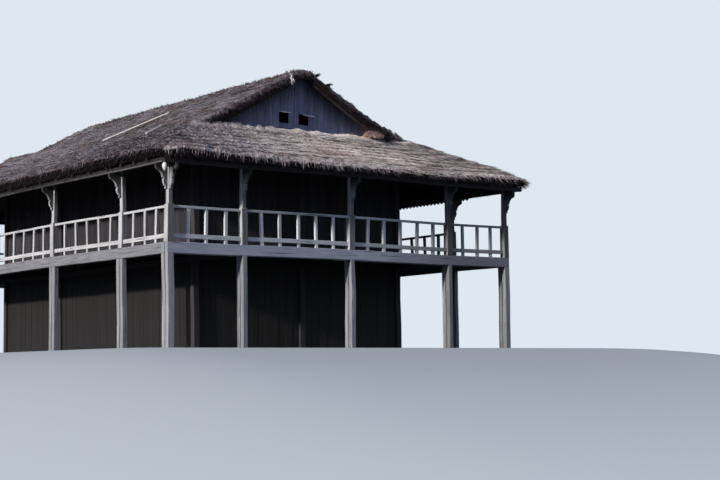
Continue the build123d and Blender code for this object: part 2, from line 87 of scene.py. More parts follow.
# Light: one large soft lamp low on the left, as from an open sky with a low sun, and a plain pale
# surround that lights the house far less than it shows to the eye.
def linear(colour):
    """Turns an sRGB colour written as #rrggbb into the linear values that the shaders take."""
    parts = [int(colour[i:i + 2], 16) / 255 for i in (1, 3, 5)]
    return [p / 12.92 if p <= 0.04045 else ((p + 0.055) / 1.055) ** 2.4 for p in parts] + [1]


def feed(made, inputs):
    """Gives each named input of a node a value, or a link from a socket or from a node's first output."""
    for name, value in inputs.items():
        if isinstance(value, bpy.types.Node):
            value = value.outputs[0]
        if isinstance(value, bpy.types.NodeSocket):
            made.id_data.links.new(value, made.inputs[name])
        else:
            made.inputs[name].default_value = value


def node(tree, kind, settings=None, inputs=None):
    """Adds a node to a tree, sets its own settings and feeds its inputs."""
    made = tree.nodes.new(kind)
    for name, value in (settings or {}).items():
        setattr(made, name, value)
    feed(made, inputs or {})
    return made


times, plus = {"operation": "MULTIPLY"}, {"operation": "ADD"}
sun_height = radians(16.5)
sun_turn = radians(7)
sun = bpy.data.objects.new("sun", bpy.data.lights.new("sun", "SUN"))
sun.data.energy = 3.6
sun.data.angle = radians(3)
sun.data.color = linear("#fff6ea")[:3]
towards_sun = Vector((-cos(sun_height) * cos(sun_turn), -cos(sun_height) * sin(sun_turn), sin(sun_height)))
sun.rotation_euler = towards_sun.to_track_quat("Z", "Y").to_euler()
bpy.context.scene.collection.objects.link(sun)

backdrop = linear("#dfe8f1")
skylight = linear("#a9bcdc")
skylight_strength = 0.42
world = bpy.data.worlds.new("pale_surround")
bpy.context.scene.world = world
world.use_nodes = True
air = world.node_tree
air.nodes.clear()
rays = node(air, "ShaderNodeLightPath")
seen = node(air, "ShaderNodeMath", plus,
            {0: rays.outputs["Is Camera Ray"], 1: rays.outputs["Is Glossy Ray"]})
seen = node(air, "ShaderNodeMath", {"operation": "ADD", "use_clamp": True},
            {0: seen, 1: rays.outputs["Is Transmission Ray"]})
lighting = node(air, "ShaderNodeBackground", inputs={"Color": skylight, "Strength": skylight_strength})
surround = node(air, "ShaderNodeBackground", inputs={"Color": backdrop, "Strength": 1.0})
shown = node(air, "ShaderNodeMixShader", inputs={0: seen, 1: lighting, 2: surround})
node(air, "ShaderNodeOutputWorld", inputs={"Surface": shown})
bpy.context.scene.view_settings.view_transform = "Standard"


# Floor: a plain pale surface, level under the house and domed away from it on all sides, so that the
# feet show from below. It fades into the surround, and throws little light back under the house.
def mesh_of(name, points, faces=()):
    """Makes a mesh from points and faces."""
    mesh = bpy.data.meshes.new(name)
    mesh.from_pydata([tuple(p) for p in points], [], [tuple(f) for f in faces])
    return mesh


def placed(name, mesh):
    """Puts a mesh into the scene, with its object at the origin."""
    made = bpy.data.objects.new(name, mesh)
    bpy.context.scene.collection.objects.link(made)
    return made


def plain_material(name, roughness):
    """A material with its shader, ready for a colour."""
    made = bpy.data.materials.new(name)
    made.use_nodes = True
    tree = made.node_tree
    shader = tree.nodes["Principled BSDF"]
    shader.inputs["Roughness"].default_value = roughness
    return made, tree, shader


level_margin = 1.6
floor_fall = 4.2
floor_fall_run = 16.0
floor_half = 420.0
floor_steps = 150
floor_fine_half = 14.0
fade_from, fade_to = 16.0, 48.0
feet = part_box("stilts")[1]
spread = np.linspace(-1, 1, floor_steps + 1)
coarse = (floor_half - floor_fine_half) * np.abs(spread) ** 5
line = np.sign(spread) * (np.abs(spread) * floor_fine_half + coarse)
across, back = np.meshgrid(line, line, indexing="ij")
off_x = np.maximum(np.abs(across) - feet.x - level_margin, 0)
off_y = np.maximum(np.abs(back) - feet.y - level_margin, 0)
fall = -floor_fall * (1 - np.exp(-(off_x**2 + off_y**2) / floor_fall_run**2))
points = np.stack([across, back, fall], -1).reshape(-1, 3)
size = floor_steps + 1
faces = [(i * size + j, (i + 1) * size + j, (i + 1) * size + j + 1, i * size + j + 1)
         for i in range(floor_steps) for j in range(floor_steps)]
floor_look, tree, shader = plain_material("pale_studio_floor", 0.95)
rays = node(tree, "ShaderNodeLightPath")
tone = node(tree, "ShaderNodeMixRGB", inputs={
    "Fac": rays.outputs["Is Camera Ray"], "Color1": linear("#5c5f62"), "Color2": linear("#cfd6dc")})
feed(shader, {"Base Color": tone, "Specular IOR Level": 0.0})
where = node(tree, "ShaderNodeTexCoord").outputs["Object"]
flat = node(tree, "ShaderNodeVectorMath", times, {0: where, 1: (1, 1, 0)})
away = node(tree, "ShaderNodeVectorMath", {"operation": "LENGTH"}, {0: flat})
fade = node(tree, "ShaderNodeMapRange", inputs={
    "Value": away.outputs["Value"], "From Min": fade_from, "From Max": fade_to})
glow = node(tree, "ShaderNodeEmission", inputs={"Color": backdrop, "Strength": 1.0})
far = node(tree, "ShaderNodeMath", times, {0: fade, 1: rays.outputs["Is Camera Ray"]})
blended = node(tree, "ShaderNodeMixShader", inputs={0: far, 1: shader, 2: glow})
feed(tree.nodes["Material Output"], {"Surface": blended})
floor = placed("studio_floor", mesh_of("studio_floor", points, faces))
floor.data.materials.append(floor_look)
floor.data.shade_smooth()


# Stilts: square hardwood timbers, hewn and left bare, in pairs under the outer beams. Rain and sun
# have bleached them silver, opened long cracks along the grain and rounded their edges.
def weathered_timber(name, pale, mid, dark, roughness=0.86, vary=(0.80, 1.16)):
    """Bare timber gone grey: long streaks along the grain, drying cracks, and blotches from rain. The
    fibres are drawn 30 mm wide, far coarser than real ones, because finer ones would not show."""
    made, tree, shader = plain_material(name, roughness)
    grain = node(tree, "ShaderNodeAttribute", {"attribute_name": "grain"}).outputs["Vector"]
    tone = node(tree, "ShaderNodeAttribute", {"attribute_name": "tone"}).outputs["Fac"]
    where = node(tree, "ShaderNodeTexCoord").outputs["Object"]
    streaks = node(tree, "ShaderNodeTexNoise", inputs={
        "Vector": grain, "Scale": 1 / 0.030, "Detail": 3.0, "Roughness": 0.65})
    cracks = node(tree, "ShaderNodeTexNoise", inputs={
        "Vector": grain, "Scale": 1 / 0.045, "Detail": 2.0, "Distortion": 0.4})
    stains = node(tree, "ShaderNodeTexNoise", inputs={
        "Vector": where, "Scale": 1 / 0.55, "Detail": 3.0, "Roughness": 0.6})
    lighter = node(tree, "ShaderNodeMapRange", inputs={"Value": streaks, "From Min": 0.36, "From Max": 0.64})
    stained = node(tree, "ShaderNodeMapRange", inputs={
        "Value": stains, "From Min": 0.5, "From Max": 0.78, "To Max": 0.6})
    cracked = node(tree, "ShaderNodeMapRange", inputs={
        "Value": cracks, "From Min": 0.36, "From Max": 0.31, "To Max": 0.75})
    colour = linear(mid)
    for share, covering in ((lighter, pale), (stained, mid), (cracked, dark)):
        colour = node(tree, "ShaderNodeMixRGB", inputs={
            "Fac": share, "Color1": colour, "Color2": linear(covering)})
    level = node(tree, "ShaderNodeMapRange", inputs={"Value": tone, "To Min": vary[0], "To Max": vary[1]})
    colour = node(tree, "ShaderNodeHueSaturation", inputs={"Value": level, "Color": colour})
    ridges = node(tree, "ShaderNodeBump", inputs={"Strength": 0.5, "Distance": 0.006, "Height": streaks})
    feed(shader, {"Base Color": colour, "Normal": ridges})
    return made


def dimmed(look, share):
    """Darkens the colour of a material by a share that other nodes of its own work out."""
    tree = look.node_tree
    shader = tree.nodes["Principled BSDF"]
    colour = shader.inputs["Base Color"].links[0].from_socket
    dim = node(tree, "ShaderNodeHueSaturation", inputs={"Value": share, "Color": colour})
    feed(shader, {"Base Color": dim})


def turned_away(tree):
    """Works out 0 on faces that look left, where the low sun comes from, and 1 on all the others."""
    facing = node(tree, "ShaderNodeNewGeometry").outputs["True Normal"]
    to_right = node(tree, "ShaderNodeSeparateXYZ", inputs={0: facing}).outputs["X"]
    return node(tree, "ShaderNodeMapRange", inputs={"Value": to_right, "From Min": -0.6, "From Max": -0.1})


def towards(tree, axis, start, end, last):
    """Works out a share that goes from 1 to its last value between two places along an axis."""
    where = node(tree, "ShaderNodeTexCoord").outputs["Object"]
    value = node(tree, "ShaderNodeSeparateXYZ", inputs={0: where}).outputs[axis]
    return node(tree, "ShaderNodeMapRange", inputs={
        "Value": value, "From Min": start, "From Max": end, "To Min": 1.0, "To Max": last})


def between(tree, share, low, high):
    """Works out the value that lies a share of the way from a low value to a high one."""
    return node(tree, "ShaderNodeMapRange", inputs={"Value": share, "To Min": low, "To Max": high})


def aged(places):
    """Shifts places by the slow bow and lean that an old hand-cut frame has, up to about 15 mm."""
    x, y, z = places.T
    rise = np.clip(z / 1.5, 0, 1)
    bow_x = 0.011 * np.sin(0.9 * y + 1.7 * z + 0.6) + 0.006 * np.sin(2.3 * y - 2.9 * z)
    bow_y = 0.011 * np.sin(0.8 * x + 1.9 * z + 2.1) + 0.006 * np.sin(2.6 * x + 2.7 * z)
    bow_z = 0.012 * np.sin(0.75 * x + 0.6 * y + 0.9)
    return places + np.stack([bow_x * rise, bow_y * rise, bow_z * rise], 1)


def islands(parts, touching):
    """Groups the faces or vertices of a mesh into its separate solids, always in the same order."""
    left = set(parts)
    for first in parts:
        if first not in left:
            continue
        left.remove(first)
        found = [first]
        for part in found:
            for other in touching(part):
                if other in left:
                    left.remove(other)
                    found.append(other)
        yield found


def mark_grain(work, seed, stretch=28):
    """Stores on each face corner where it is, squeezed along the longest edge of its face, so that a
    pattern runs out into fibres that way, and on each face how light its own timber is."""
    rng = np.random.default_rng(seed)
    grain = work.loops.layers.float_vector.new("grain")
    tone = work.faces.layers.float.new("tone")
    for timber in islands(work.faces, lambda face: [f for edge in face.edges for f in edge.link_faces]):
        shift = Vector(rng.uniform(-30, 30, 3))
        lightness = rng.uniform(0, 1)
        for face in timber:
            run = max(face.edges, key=lambda e: e.calc_length())
            way = (run.verts[1].co - run.verts[0].co).normalized()
            face[tone] = lightness
            for corner in face.loops:
                along = corner.vert.co.dot(way)
                corner[grain] = corner.vert.co - way * along * (1 - 1 / stretch) + shift


def moved(mesh, change):
    """Moves the points of a mesh to where a function puts them."""
    places = np.empty(len(mesh.vertices) * 3)
    mesh.vertices.foreach_get("co", places)
    mesh.vertices.foreach_set("co", change(places.reshape(-1, 3)).ravel())


def fitted(name, mesh, look, hides=()):
    """Makes a finished mesh into a piece of the house, which stands for the nodes that it hides."""
    mesh.materials.clear()
    mesh.materials.append(look)
    made = placed(name, mesh)
    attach(made, "root")
    for hidden in hides:
        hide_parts(hidden)


cut_spacing = 0.8


def worn(work, name, look, hides, edge=0.007, seed=1):
    """Finishes timbers: rounds their sharp edges, marks their grain and bows them with age."""
    sharp = [e for e in work.edges
             if len(e.link_faces) == 2 and e.is_convex and e.calc_face_angle(0) > radians(30)]
    bmesh.ops.bevel(work, geom=sharp, offset=edge, segments=1, affect="EDGES", clamp_overlap=True)
    work.faces.index_update()
    mark_grain(work, seed)
    reach = np.array([v.co for v in work.verts])
    for axis in range(3):
        low, high = reach[:, axis].min(), reach[:, axis].max()
        way = Vector([float(axis == i) for i in range(3)])
        for cut in np.arange(np.ceil(low / cut_spacing) * cut_spacing, high, cut_spacing):
            whole = work.verts[:] + work.edges[:] + work.faces[:]
            bmesh.ops.bisect_plane(work, geom=whole, plane_co=way * float(cut), plane_no=way)
    mesh = bpy.data.meshes.new(name)
    work.to_mesh(mesh)
    work.free()
    moved(mesh, aged)
    fitted(name, mesh, look, hides)


def cut_timbers(name):
    """The shapes of one node, joined up again from loose triangles into whole flat faces."""
    work = bmesh.new()
    work.from_mesh(nodes[name].data)
    bmesh.ops.remove_doubles(work, verts=work.verts, dist=0.0002)
    bmesh.ops.dissolve_limit(work, angle_limit=radians(1.5), verts=work.verts, edges=work.edges)
    return work


def aged_timbers(name, look, seed, edge=0.007):
    """Puts worn timbers in the place of one node's clean ones."""
    worn(cut_timbers(name), "old_" + name, look, [name], edge, seed)


rightward_dim_from, rightward_dim_full = 0.5, 3.5
stilt_wood = weathered_timber("bleached_hardwood_hand_hewn", pale="#b9bbc1", mid="#8f929b", dark="#4a484b")
tree = stilt_wood.node_tree
# Painted shade: faces turned away from the low sun on the left are painted darker.
dimmed(stilt_wood, between(tree, turned_away(tree), 0.84, 1.0))
dimmed(stilt_wood, towards(tree, "X", rightward_dim_from, rightward_dim_full, 0.75))
aged_timbers("stilts", stilt_wood, 11, 0.010)

# Outer floor beams: deep sawn timbers that lie on the stilts, doubled over the pairs at the two ends,
# and a single heavier one down each side. The end beams are darker towards the right.
rightward_dim_share = 0.45
beam_wood = weathered_timber("grey_hardwood_beam_sawn", pale="#8d8f97", mid="#6a6c74", dark="#393739")
end_wood = weathered_timber("bluish_hardwood_beam_rain_washed", pale="#d4d8e6", mid="#b2b9cb",
                            dark="#50525e")
tree = end_wood.node_tree
# Painted shade: faces turned away from the low sun on the left are painted darker.
dimmed(end_wood, between(tree, turned_away(tree), 0.55, 1.0))
dimmed(end_wood, towards(tree, "X", rightward_dim_from, rightward_dim_full, rightward_dim_share))
aged_timbers("end_beams", end_wood, 24, edge=0.010)
aged_timbers("side_beams", beam_wood, 22, edge=0.010)

# Cross beams, floor joists and the posts of the lower room: rough sawn hardwood that carries the upper
# floor. No sun or rain reaches it, and smoke has left it dark and dull.
smoked = weathered_timber("smoked_timber_rough_sawn", pale="#414046", mid="#2e2d32", dark="#151416")
for name, seed in (("cross_beams", 31), ("floor_joists", 32), ("room_posts_lower", 33)):
    aged_timbers(name, smoked, seed)


# Upper floor: sawn planks about 210 mm wide, laid loose from side to side of the house, with narrow gaps
# between them. Feet have worn them smooth, which leaves them a dusty brown.
def new_tree(name, inputs, output):
    """Starts a Geometry Nodes tree with its named inputs and one output, and returns its input node too."""
    tree = bpy.data.node_groups.new(name, "GeometryNodeTree")
    for socket, kind in inputs.items():
        tree.interface.new_socket(socket, in_out="INPUT", socket_type="NodeSocket" + kind)
    tree.interface.new_socket(output, in_out="OUTPUT", socket_type="NodeSocketGeometry")
    return tree, node(tree, "NodeGroupInput")


def end_tree(tree, shapes, look, output):
    """Ends a tree: its shapes are made real, get their material and go out."""
    solid = node(tree, "GeometryNodeRealizeInstances", inputs={0: shapes})
    dressed = node(tree, "GeometryNodeSetMaterial", inputs={"Geometry": solid, "Material": look})
    node(tree, "NodeGroupOutput", inputs={output: dressed})


def grown(mesh, tree, values, gauge=0):
    """Runs a tree on a mesh and returns the result as a plain mesh, thickened if a gauge is given."""
    holder = placed("holder", mesh)
    change = holder.modifiers.new("tree", "NODES")
    change.node_group = tree
    for item in tree.interface.items_tree:
        if item.name in values:
            change[item.identifier] = values[item.name]
    if gauge:
        thick = holder.modifiers.new("gauge", "SOLIDIFY")
        thick.thickness = gauge
        thick.offset = 0
    bpy.context.view_layer.update()
    made = bpy.data.meshes.new_from_object(holder.evaluated_get(bpy.context.evaluated_depsgraph_get()))
    holder.modifiers.clear()
    bpy.data.objects.remove(holder)
    bpy.data.meshes.remove(mesh)
    return made


tree, given = new_tree("laid_blocks", {
    "Places": "Geometry", "Lean": "Float", "Seed": "Int", "Wood": "Material"}, "Blocks")
laid_blocks = tree
size = node(tree, "GeometryNodeInputNamedAttribute", {"data_type": "FLOAT_VECTOR"}, {"Name": "size"})
less = node(tree, "ShaderNodeMath", times, {0: given.outputs["Lean"], 1: -1.0})
tilt = node(tree, "FunctionNodeRandomValue", {"data_type": "FLOAT_VECTOR"}, {
    "Min": less, "Max": given.outputs["Lean"], "Seed": given.outputs["Seed"]})
blocks = node(tree, "GeometryNodeInstanceOnPoints", inputs={
    "Points": given.outputs["Places"], "Instance": node(tree, "GeometryNodeMeshCube"),
    "Rotation": tilt, "Scale": size})
end_tree(tree, blocks, given.outputs["Wood"], "Blocks")


def lay(places, sizes, lean=0.0, seed=1, work=None):
    """Adds one block of the given size at each place to a working mesh, each leaning its own way."""
    spots = mesh_of("places", places)
    kept = spots.attributes.new("size", "FLOAT_VECTOR", "POINT")
    kept.data.foreach_set("vector", np.ravel(sizes).astype(float))
    made = grown(spots, laid_blocks, {"Lean": lean, "Seed": seed, "Wood": smoked})
    if work is None:
        work = bmesh.new()
    work.from_mesh(made)
    bpy.data.meshes.remove(made)
    return work


def shares(start, end, width, rng, vary=0.25):
    """Splits a run into boards of about one width that differ a little, as (middle, width) pairs."""
    count = max(1, round((end - start) / width))
    parts = rng.uniform(1 - vary, 1 + vary, count)
    edges = start + (end - start) * np.concatenate([[0], np.cumsum(parts)]) / parts.sum()
    return [((a + b) / 2, b - a) for a, b in zip(edges, edges[1:])]


rng = np.random.default_rng(41)
low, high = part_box("upper_floor")
plank = 0.21
plank_gap = 0.006
planks = shares(low.y, high.y, plank, rng)
places = [((low.x + high.x) / 2, y, (low.z + high.z) / 2) for y, width in planks]
sizes = [(high.x - low.x, width - plank_gap, high.z - low.z) for y, width in planks]
floor_wood = weathered_timber("trodden_floor_plank", pale="#7d7670", mid="#5d5651", dark="#2a2524")
worn(lay(places, sizes), "floor_planks", floor_wood, ["upper_floor"], edge=0.003, seed=42)


# Walls of the room on both storeys: upright boards nailed edge to edge between the posts, never
# painted, dark with smoke and age, with narrow gaps where they have shrunk. The near black of the lower
# storey's boards is painted shadow.
def solids(name):
    """Lowest and highest corners of each separate solid in a node."""
    work = cut_timbers(name)
    found = []
    for solid in islands(work.verts, lambda vert: [v for edge in vert.link_edges for v in edge.verts]):
        spots = np.array([vert.co for vert in solid])
        found.append((spots.min(0), spots.max(0)))
    work.free()
    return sorted(found, key=lambda pair: tuple(np.round(pair[0], 3)))


def plan(axis, along, across):
    """Orders a length along a side of the house and one across it as x and y."""
    return (along, across) if axis == 0 else (across, along)


wall_board = 0.23
board_thickness = 0.028
board_gap = 0.005
board_proud = 0.006
door_head_gap = 0.02
wall_woods = {
    # Painted shadow: the lower storey's boards are made near black.
    "lower": weathered_timber("old_wall_board_soot_black", pale="#1c1b1e", mid="#151416", dark="#0b0b0c"),
    "upper": weathered_timber("old_wall_board_smoked", pale="#3a3941", mid="#26252c", dark="#0f0e12",
                              vary=(0.5, 1.5)),
}
openings = {box["name"]: box["box_m"] for box in frame["record"]["physics"]["openings"]}
for storey in ("lower", "upper"):
    for side in ("front", "back", "left", "right"):
        name = f"{storey}_wall_{side}"
        rng = np.random.default_rng(len(name) * 7 + ord(side[0]))
        axis = 0 if side in ("front", "back") else 1
        door = openings["doorway_" + storey]
        places, sizes = [], []
        for low, high in solids(name):
            face = (low[1 - axis] + high[1 - axis]) / 2
            for middle, width in shares(low[axis], high[axis], wall_board, rng):
                foot, top = low[2], high[2]
                if side == "right" and door[0][1] < middle < door[1][1]:
                    foot = door[1][2] + door_head_gap
                proud = rng.uniform(-board_proud, board_proud)
                places.append((*plan(axis, middle, face + proud), (foot + top) / 2))
                sizes.append((*plan(axis, width - board_gap, board_thickness), top - foot))
        worn(lay(places, sizes), "boards_" + name, wall_woods[storey], [name],
             edge=0.003, seed=len(name) + ord(side[0]))

# Posts of the upper room: square hardwood timbers that carry the room's plates and stand proud of the
# boards nailed between them. They are as smoky as the joists, and a little lighter than the boards.
aged_timbers("room_posts_upper", smoked, 61)

# Gallery posts: a square base as high as the rail, a worked shoulder and a slimmer chamfered shaft,
# each from one timber, bleached by the weather. High up under the eave they carry painted shade, except
# on the left faces, which the low sun finds; the left faces are painted lighter and the others darker.
eave_shade_from, eave_shade_full = 4.15, 4.55
bleached = weathered_timber("bleached_hardwood_hand_sawn", pale="#c3c4c9", mid="#94969d", dark="#4c4a4c")
tree = bleached.node_tree
sun_shaded_side = turned_away(tree)
painted_eave_shade = towards(tree, "Z", eave_shade_from, eave_shade_full, 0.22)
# Painted shade high up under the eave, except on faces looking left.
blend = node(tree, "ShaderNodeMix", {"data_type": "FLOAT"}, {0: sun_shaded_side, 2: 1.0, 3: painted_eave_shade})
dimmed(bleached, blend)
# Painted light on faces looking left, painted shade on the others.
dimmed(bleached, between(tree, sun_shaded_side, 1.40, 0.60))
dimmed(bleached, towards(tree, "X", rightward_dim_from, rightward_dim_full, rightward_dim_share))
aged_timbers("gallery_posts", bleached, 71, 0.008)

# Brackets: sawn from thick plank to two lobes with a notch between them, pegged to the posts to carry
# the eave purlins. Painted shade darkens them towards the top, under the eave, and on faces turned from
# the low sun; their left faces, which it lights, are painted lighter.
low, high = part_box("carved_brackets")
shade_from, shade_full = low.z + 0.35 * (high.z - low.z), low.z + 0.85 * (high.z - low.z)
bracket_wood = weathered_timber("bleached_hardwood_bracket_sawn", pale="#c3c4c9", mid="#94969d",
                                dark="#4c4a4c")
tree = bracket_wood.node_tree
# Painted light on faces looking left, painted shade on the others, then painted shade towards the top.
dimmed(bracket_wood, between(tree, turned_away(tree), 1.20, 0.42))
dimmed(bracket_wood, towards(tree, "Z", shade_from, shade_full, 0.08))
dimmed(bracket_wood, towards(tree, "X", rightward_dim_from, rightward_dim_full, rightward_dim_share))
worn(cut_timbers("carved_brackets"), "old_brackets", bracket_wood, ["carved_brackets"],
     edge=0.006, seed=81)

# Railings: a flat handrail and a deeper lower rail let into the post bases, with square balusters that
# pass through the lower rail and stand on the beam. Each baluster has shrunk and leans its own way.
rail_depth = 0.065
low_rail_depth = 0.110
low_rail_clear = 0.110
baluster_lean = 0.016
baluster_spacing = 0.62
baluster_width, baluster_depth = 0.090, 0.070
post_base = 0.19
# Painted light: the front railing gets a paler copy of the bleached wood, for the sun on its faces.
painted_light_rail_wood = weathered_timber("bleached_hardwood_rail_rain_washed", pale="#f4f5fb", mid="#d2d5df",
                             dark="#6a6a72")
dimmed(painted_light_rail_wood, towards(painted_light_rail_wood.node_tree, "X", rightward_dim_from, rightward_dim_full, rightward_dim_share))
for side in ("front", "back", "left", "right"):
    name = "railing_" + side
    rng = np.random.default_rng(90 + ord(side[0]))
    axis = 0 if side in ("front", "back") else 1
    places, sizes, standing, thick = [], [], [], []
    for low, high in solids(name):
        middle, length = (low[axis] + high[axis]) / 2, high[axis] - low[axis]
        face, width = (low[1 - axis] + high[1 - axis]) / 2, high[1 - axis] - low[1 - axis]
        for centre, depth in ((high[2] - rail_depth / 2, rail_depth),
                              (low[2] + low_rail_clear + low_rail_depth / 2, low_rail_depth)):
            places.append((*plan(axis, middle, face), centre))
            sizes.append((*plan(axis, length, width), depth))
        bay = length + post_base
        tall = high[2] - rail_depth * 0.6 - low[2]
        count = round(bay / baluster_spacing) - 1
        for i in range(count):
            at = middle + bay * ((i + 1) / (count + 1) - 0.5) + rng.uniform(-0.02, 0.02)
            standing.append((*plan(axis, at, face), low[2] + tall / 2))
            thick.append((*plan(axis, baluster_width * rng.uniform(0.90, 1.08), baluster_depth), tall))
    work = lay(places, sizes)
    lay(standing, thick, baluster_lean, 92 + ord(side[0]), work)
    look = painted_light_rail_wood if side == "front" else bleached
    worn(work, "old_" + name, look, [name], edge=0.006, seed=93 + ord(side[0]))

# Plates, purlins, ridge beam and rafters: the roof's own timbers, rough and dark with smoke inside. The
# plates, end purlins and skirt and hip rafters are near black with painted shade under the eave, and the
# side purlins carry painted shadow of the straw fringe above their lowest 30 mm.
roof_wood = weathered_timber("roof_timber_half_weathered", pale="#949299", mid="#716f76", dark="#2f2d30")
tree = roof_wood.node_tree
purlin_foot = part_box("side_purlins")[0].z
# Painted shadow of the straw fringe on all but the lowest 30 mm of the side purlins.
dimmed(roof_wood, towards(tree, "Z", purlin_foot, purlin_foot + 0.03, 0.18))
painted_shade_timber = weathered_timber("roof_timber_soot_black", pale="#3b383a", mid="#292628", dark="#141213")
for name, look in (
    ("end_plates", painted_shade_timber), ("side_plates", painted_shade_timber), ("end_purlins", painted_shade_timber), ("side_purlins", roof_wood),
    ("end_room_plates", painted_shade_timber), ("side_room_plates", painted_shade_timber), ("ridge_beam", smoked),
    ("main_rafters", smoked), ("skirt_rafters", painted_shade_timber), ("hip_rafters", painted_shade_timber),
):
    aged_timbers(name, look, 100 + len(name))

# Gables: upright boards nailed to a frame between the room's plate and the thatch, bluish grey, with painted
# shade along the rakes under the verges, and two small openings in the front one. The back one is plain.
gable_board = 0.19
gable_board_gap = 0.004
gable_board_thickness = 0.026
gable_board_proud = 0.005
gable_wood = weathered_timber("gable_board_blue_grey", pale="#9aa0bb", mid="#737997", dark="#363a50")
low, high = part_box("gable_front")
gable_half, ridge_under = high.x, high.z
break_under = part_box("thatch_skirt_front")[1].z - 0.25
rake = (ridge_under - break_under) / gable_half
verge_shade_from, verge_shade_full = ridge_under - 0.75, ridge_under - 0.20
tree = gable_wood.node_tree
where = node(tree, "ShaderNodeTexCoord").outputs["Object"]
parts = node(tree, "ShaderNodeSeparateXYZ", inputs={0: where})
aside = node(tree, "ShaderNodeMath", {"operation": "ABSOLUTE"}, {0: parts.outputs["X"]})
under = node(tree, "ShaderNodeMath", {"operation": "MULTIPLY_ADD"}, {
    0: aside, 1: rake, 2: parts.outputs["Z"]})
dimmed(gable_wood, node(tree, "ShaderNodeMapRange", inputs={
    "Value": under, "From Min": verge_shade_from, "From Max": verge_shade_full,
    "To Min": 1.0, "To Max": 0.35}))
holes = sorted(box for name, box in openings.items() if "loft_opening" in name)
hole_margin = 0.010
hole_edges = [x for low, high in holes for x in (low[0] - hole_margin, high[0] + hole_margin)]
sill, lintel = 6.68, 7.00
for name in ("gable_front", "gable_back"):
    low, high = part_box(name)
    rng = np.random.default_rng(len(name))
    places, sizes = [], []
    cuts = [low.x, *(hole_edges if name == "gable_front" else []), high.x]
    for i, (start, end) in enumerate(zip(cuts, cuts[1:])):
        spans = ((low.z, sill), (lintel, high.z)) if i % 2 else ((low.z, high.z),)
        for middle, width in shares(start, end, gable_board, rng, 0.15):
            for foot, top in spans:
                proud = rng.uniform(-gable_board_proud, gable_board_proud)
                places.append((middle, (low.y + high.y) / 2 + proud, (foot + top) / 2))
                sizes.append((width - gable_board_gap, gable_board_thickness, top - foot))
    work = lay(places, sizes)
    for way in (-1, 1):
        bmesh.ops.bisect_plane(work, geom=work.verts[:] + work.edges[:] + work.faces[:],
                               plane_co=(0, 0, ridge_under), plane_no=(way * rake, 0, 1), clear_outer=True)
        bmesh.ops.holes_fill(work, edges=[e for e in work.edges if e.is_boundary])
    worn(work, "boards_" + name, gable_wood, [name], edge=0.003, seed=111)

# Flaps: two short boards propped open over the openings, newer and paler than the gable. They have
# sprung up to stand flatter than they were hung.
flap_wood = weathered_timber("sawn_board_sun_bleached", pale="#ffffff", mid="#e2e2e2", dark="#9a9896",
                             roughness=0.8)
flap_spring = 0.42
flap_slip = 0.12
work = cut_timbers("gable_flaps")
low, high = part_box("gable_flaps")
for vert in work.verts:
    vert.co.z += (high.y - vert.co.y) * flap_spring
    if vert.co.x > (low.x + high.x) / 2:
        vert.co += Vector((flap_slip, 0, -0.2 * flap_slip))
worn(work, "opening_flaps", flap_wood, ["gable_flaps"], edge=0.003, seed=121)


# Thatch: bundles of grass tied to the rafters in courses from the eave upwards, each course lying over
# the ends of the one below. Its surface is a stepped bed of straw with loose stems lying down the slope.
def straw_material(name, shade, body, bright, patch):
    """Dry grass that has weathered for years: grey stems over brown ones, with browner patches about a
    metre across and streaks along the courses. A low stored tone gives the shade colour, which is painted
    shade in the gaps and under the eaves, and a high one gives the bright colour."""
    made, tree, shader = plain_material(name, 0.95)
    tone = node(tree, "ShaderNodeAttribute", {"attribute_name": "tone"}).outputs["Fac"]
    where = node(tree, "ShaderNodeTexCoord").outputs["Object"]
    broad = node(tree, "ShaderNodeTexNoise", inputs={"Vector": where, "Scale": 1 / 1.3, "Detail": 3.0})
    fine = node(tree, "ShaderNodeTexNoise", inputs={"Vector": where, "Scale": 1 / 0.16, "Detail": 3.0})
    level = node(tree, "ShaderNodeMapping", inputs={"Vector": where, "Scale": (1.0, 1.0, 9.0)})
    streak = node(tree, "ShaderNodeTexNoise", inputs={"Vector": level, "Scale": 1 / 0.8, "Detail": 3.0})
    mixed = node(tree, "ShaderNodeMath", {"operation": "MULTIPLY_ADD"}, {0: fine, 1: 0.9, 2: tone})
    mixed = node(tree, "ShaderNodeMath", {"operation": "MULTIPLY_ADD"}, {0: streak, 1: 1.3, 2: mixed})
    dark_part = node(tree, "ShaderNodeMapRange", inputs={"Value": mixed, "From Min": 0.95, "From Max": 1.6})
    bright_part = node(tree, "ShaderNodeMapRange", inputs={
        "Value": mixed, "From Min": 1.45, "From Max": 2.3})
    brown = node(tree, "ShaderNodeMapRange", inputs={
        "Value": broad, "From Min": 0.50, "From Max": 0.70, "To Max": 0.7})
    colour = linear(shade)
    for share, covering in ((dark_part, body), (bright_part, bright)):
        colour = node(tree, "ShaderNodeMixRGB", inputs={
            "Fac": share, "Color1": colour, "Color2": linear(covering)})
    tinted = node(tree, "ShaderNodeMixRGB", {"blend_type": "MULTIPLY"}, {
        "Fac": brown, "Color1": colour, "Color2": linear(patch)})
    bump = node(tree, "ShaderNodeBump", inputs={"Strength": 0.6, "Distance": 0.02, "Height": fine})
    feed(shader, {"Base Color": tinted, "Normal": bump, "Specular IOR Level": 0.2})
    return made


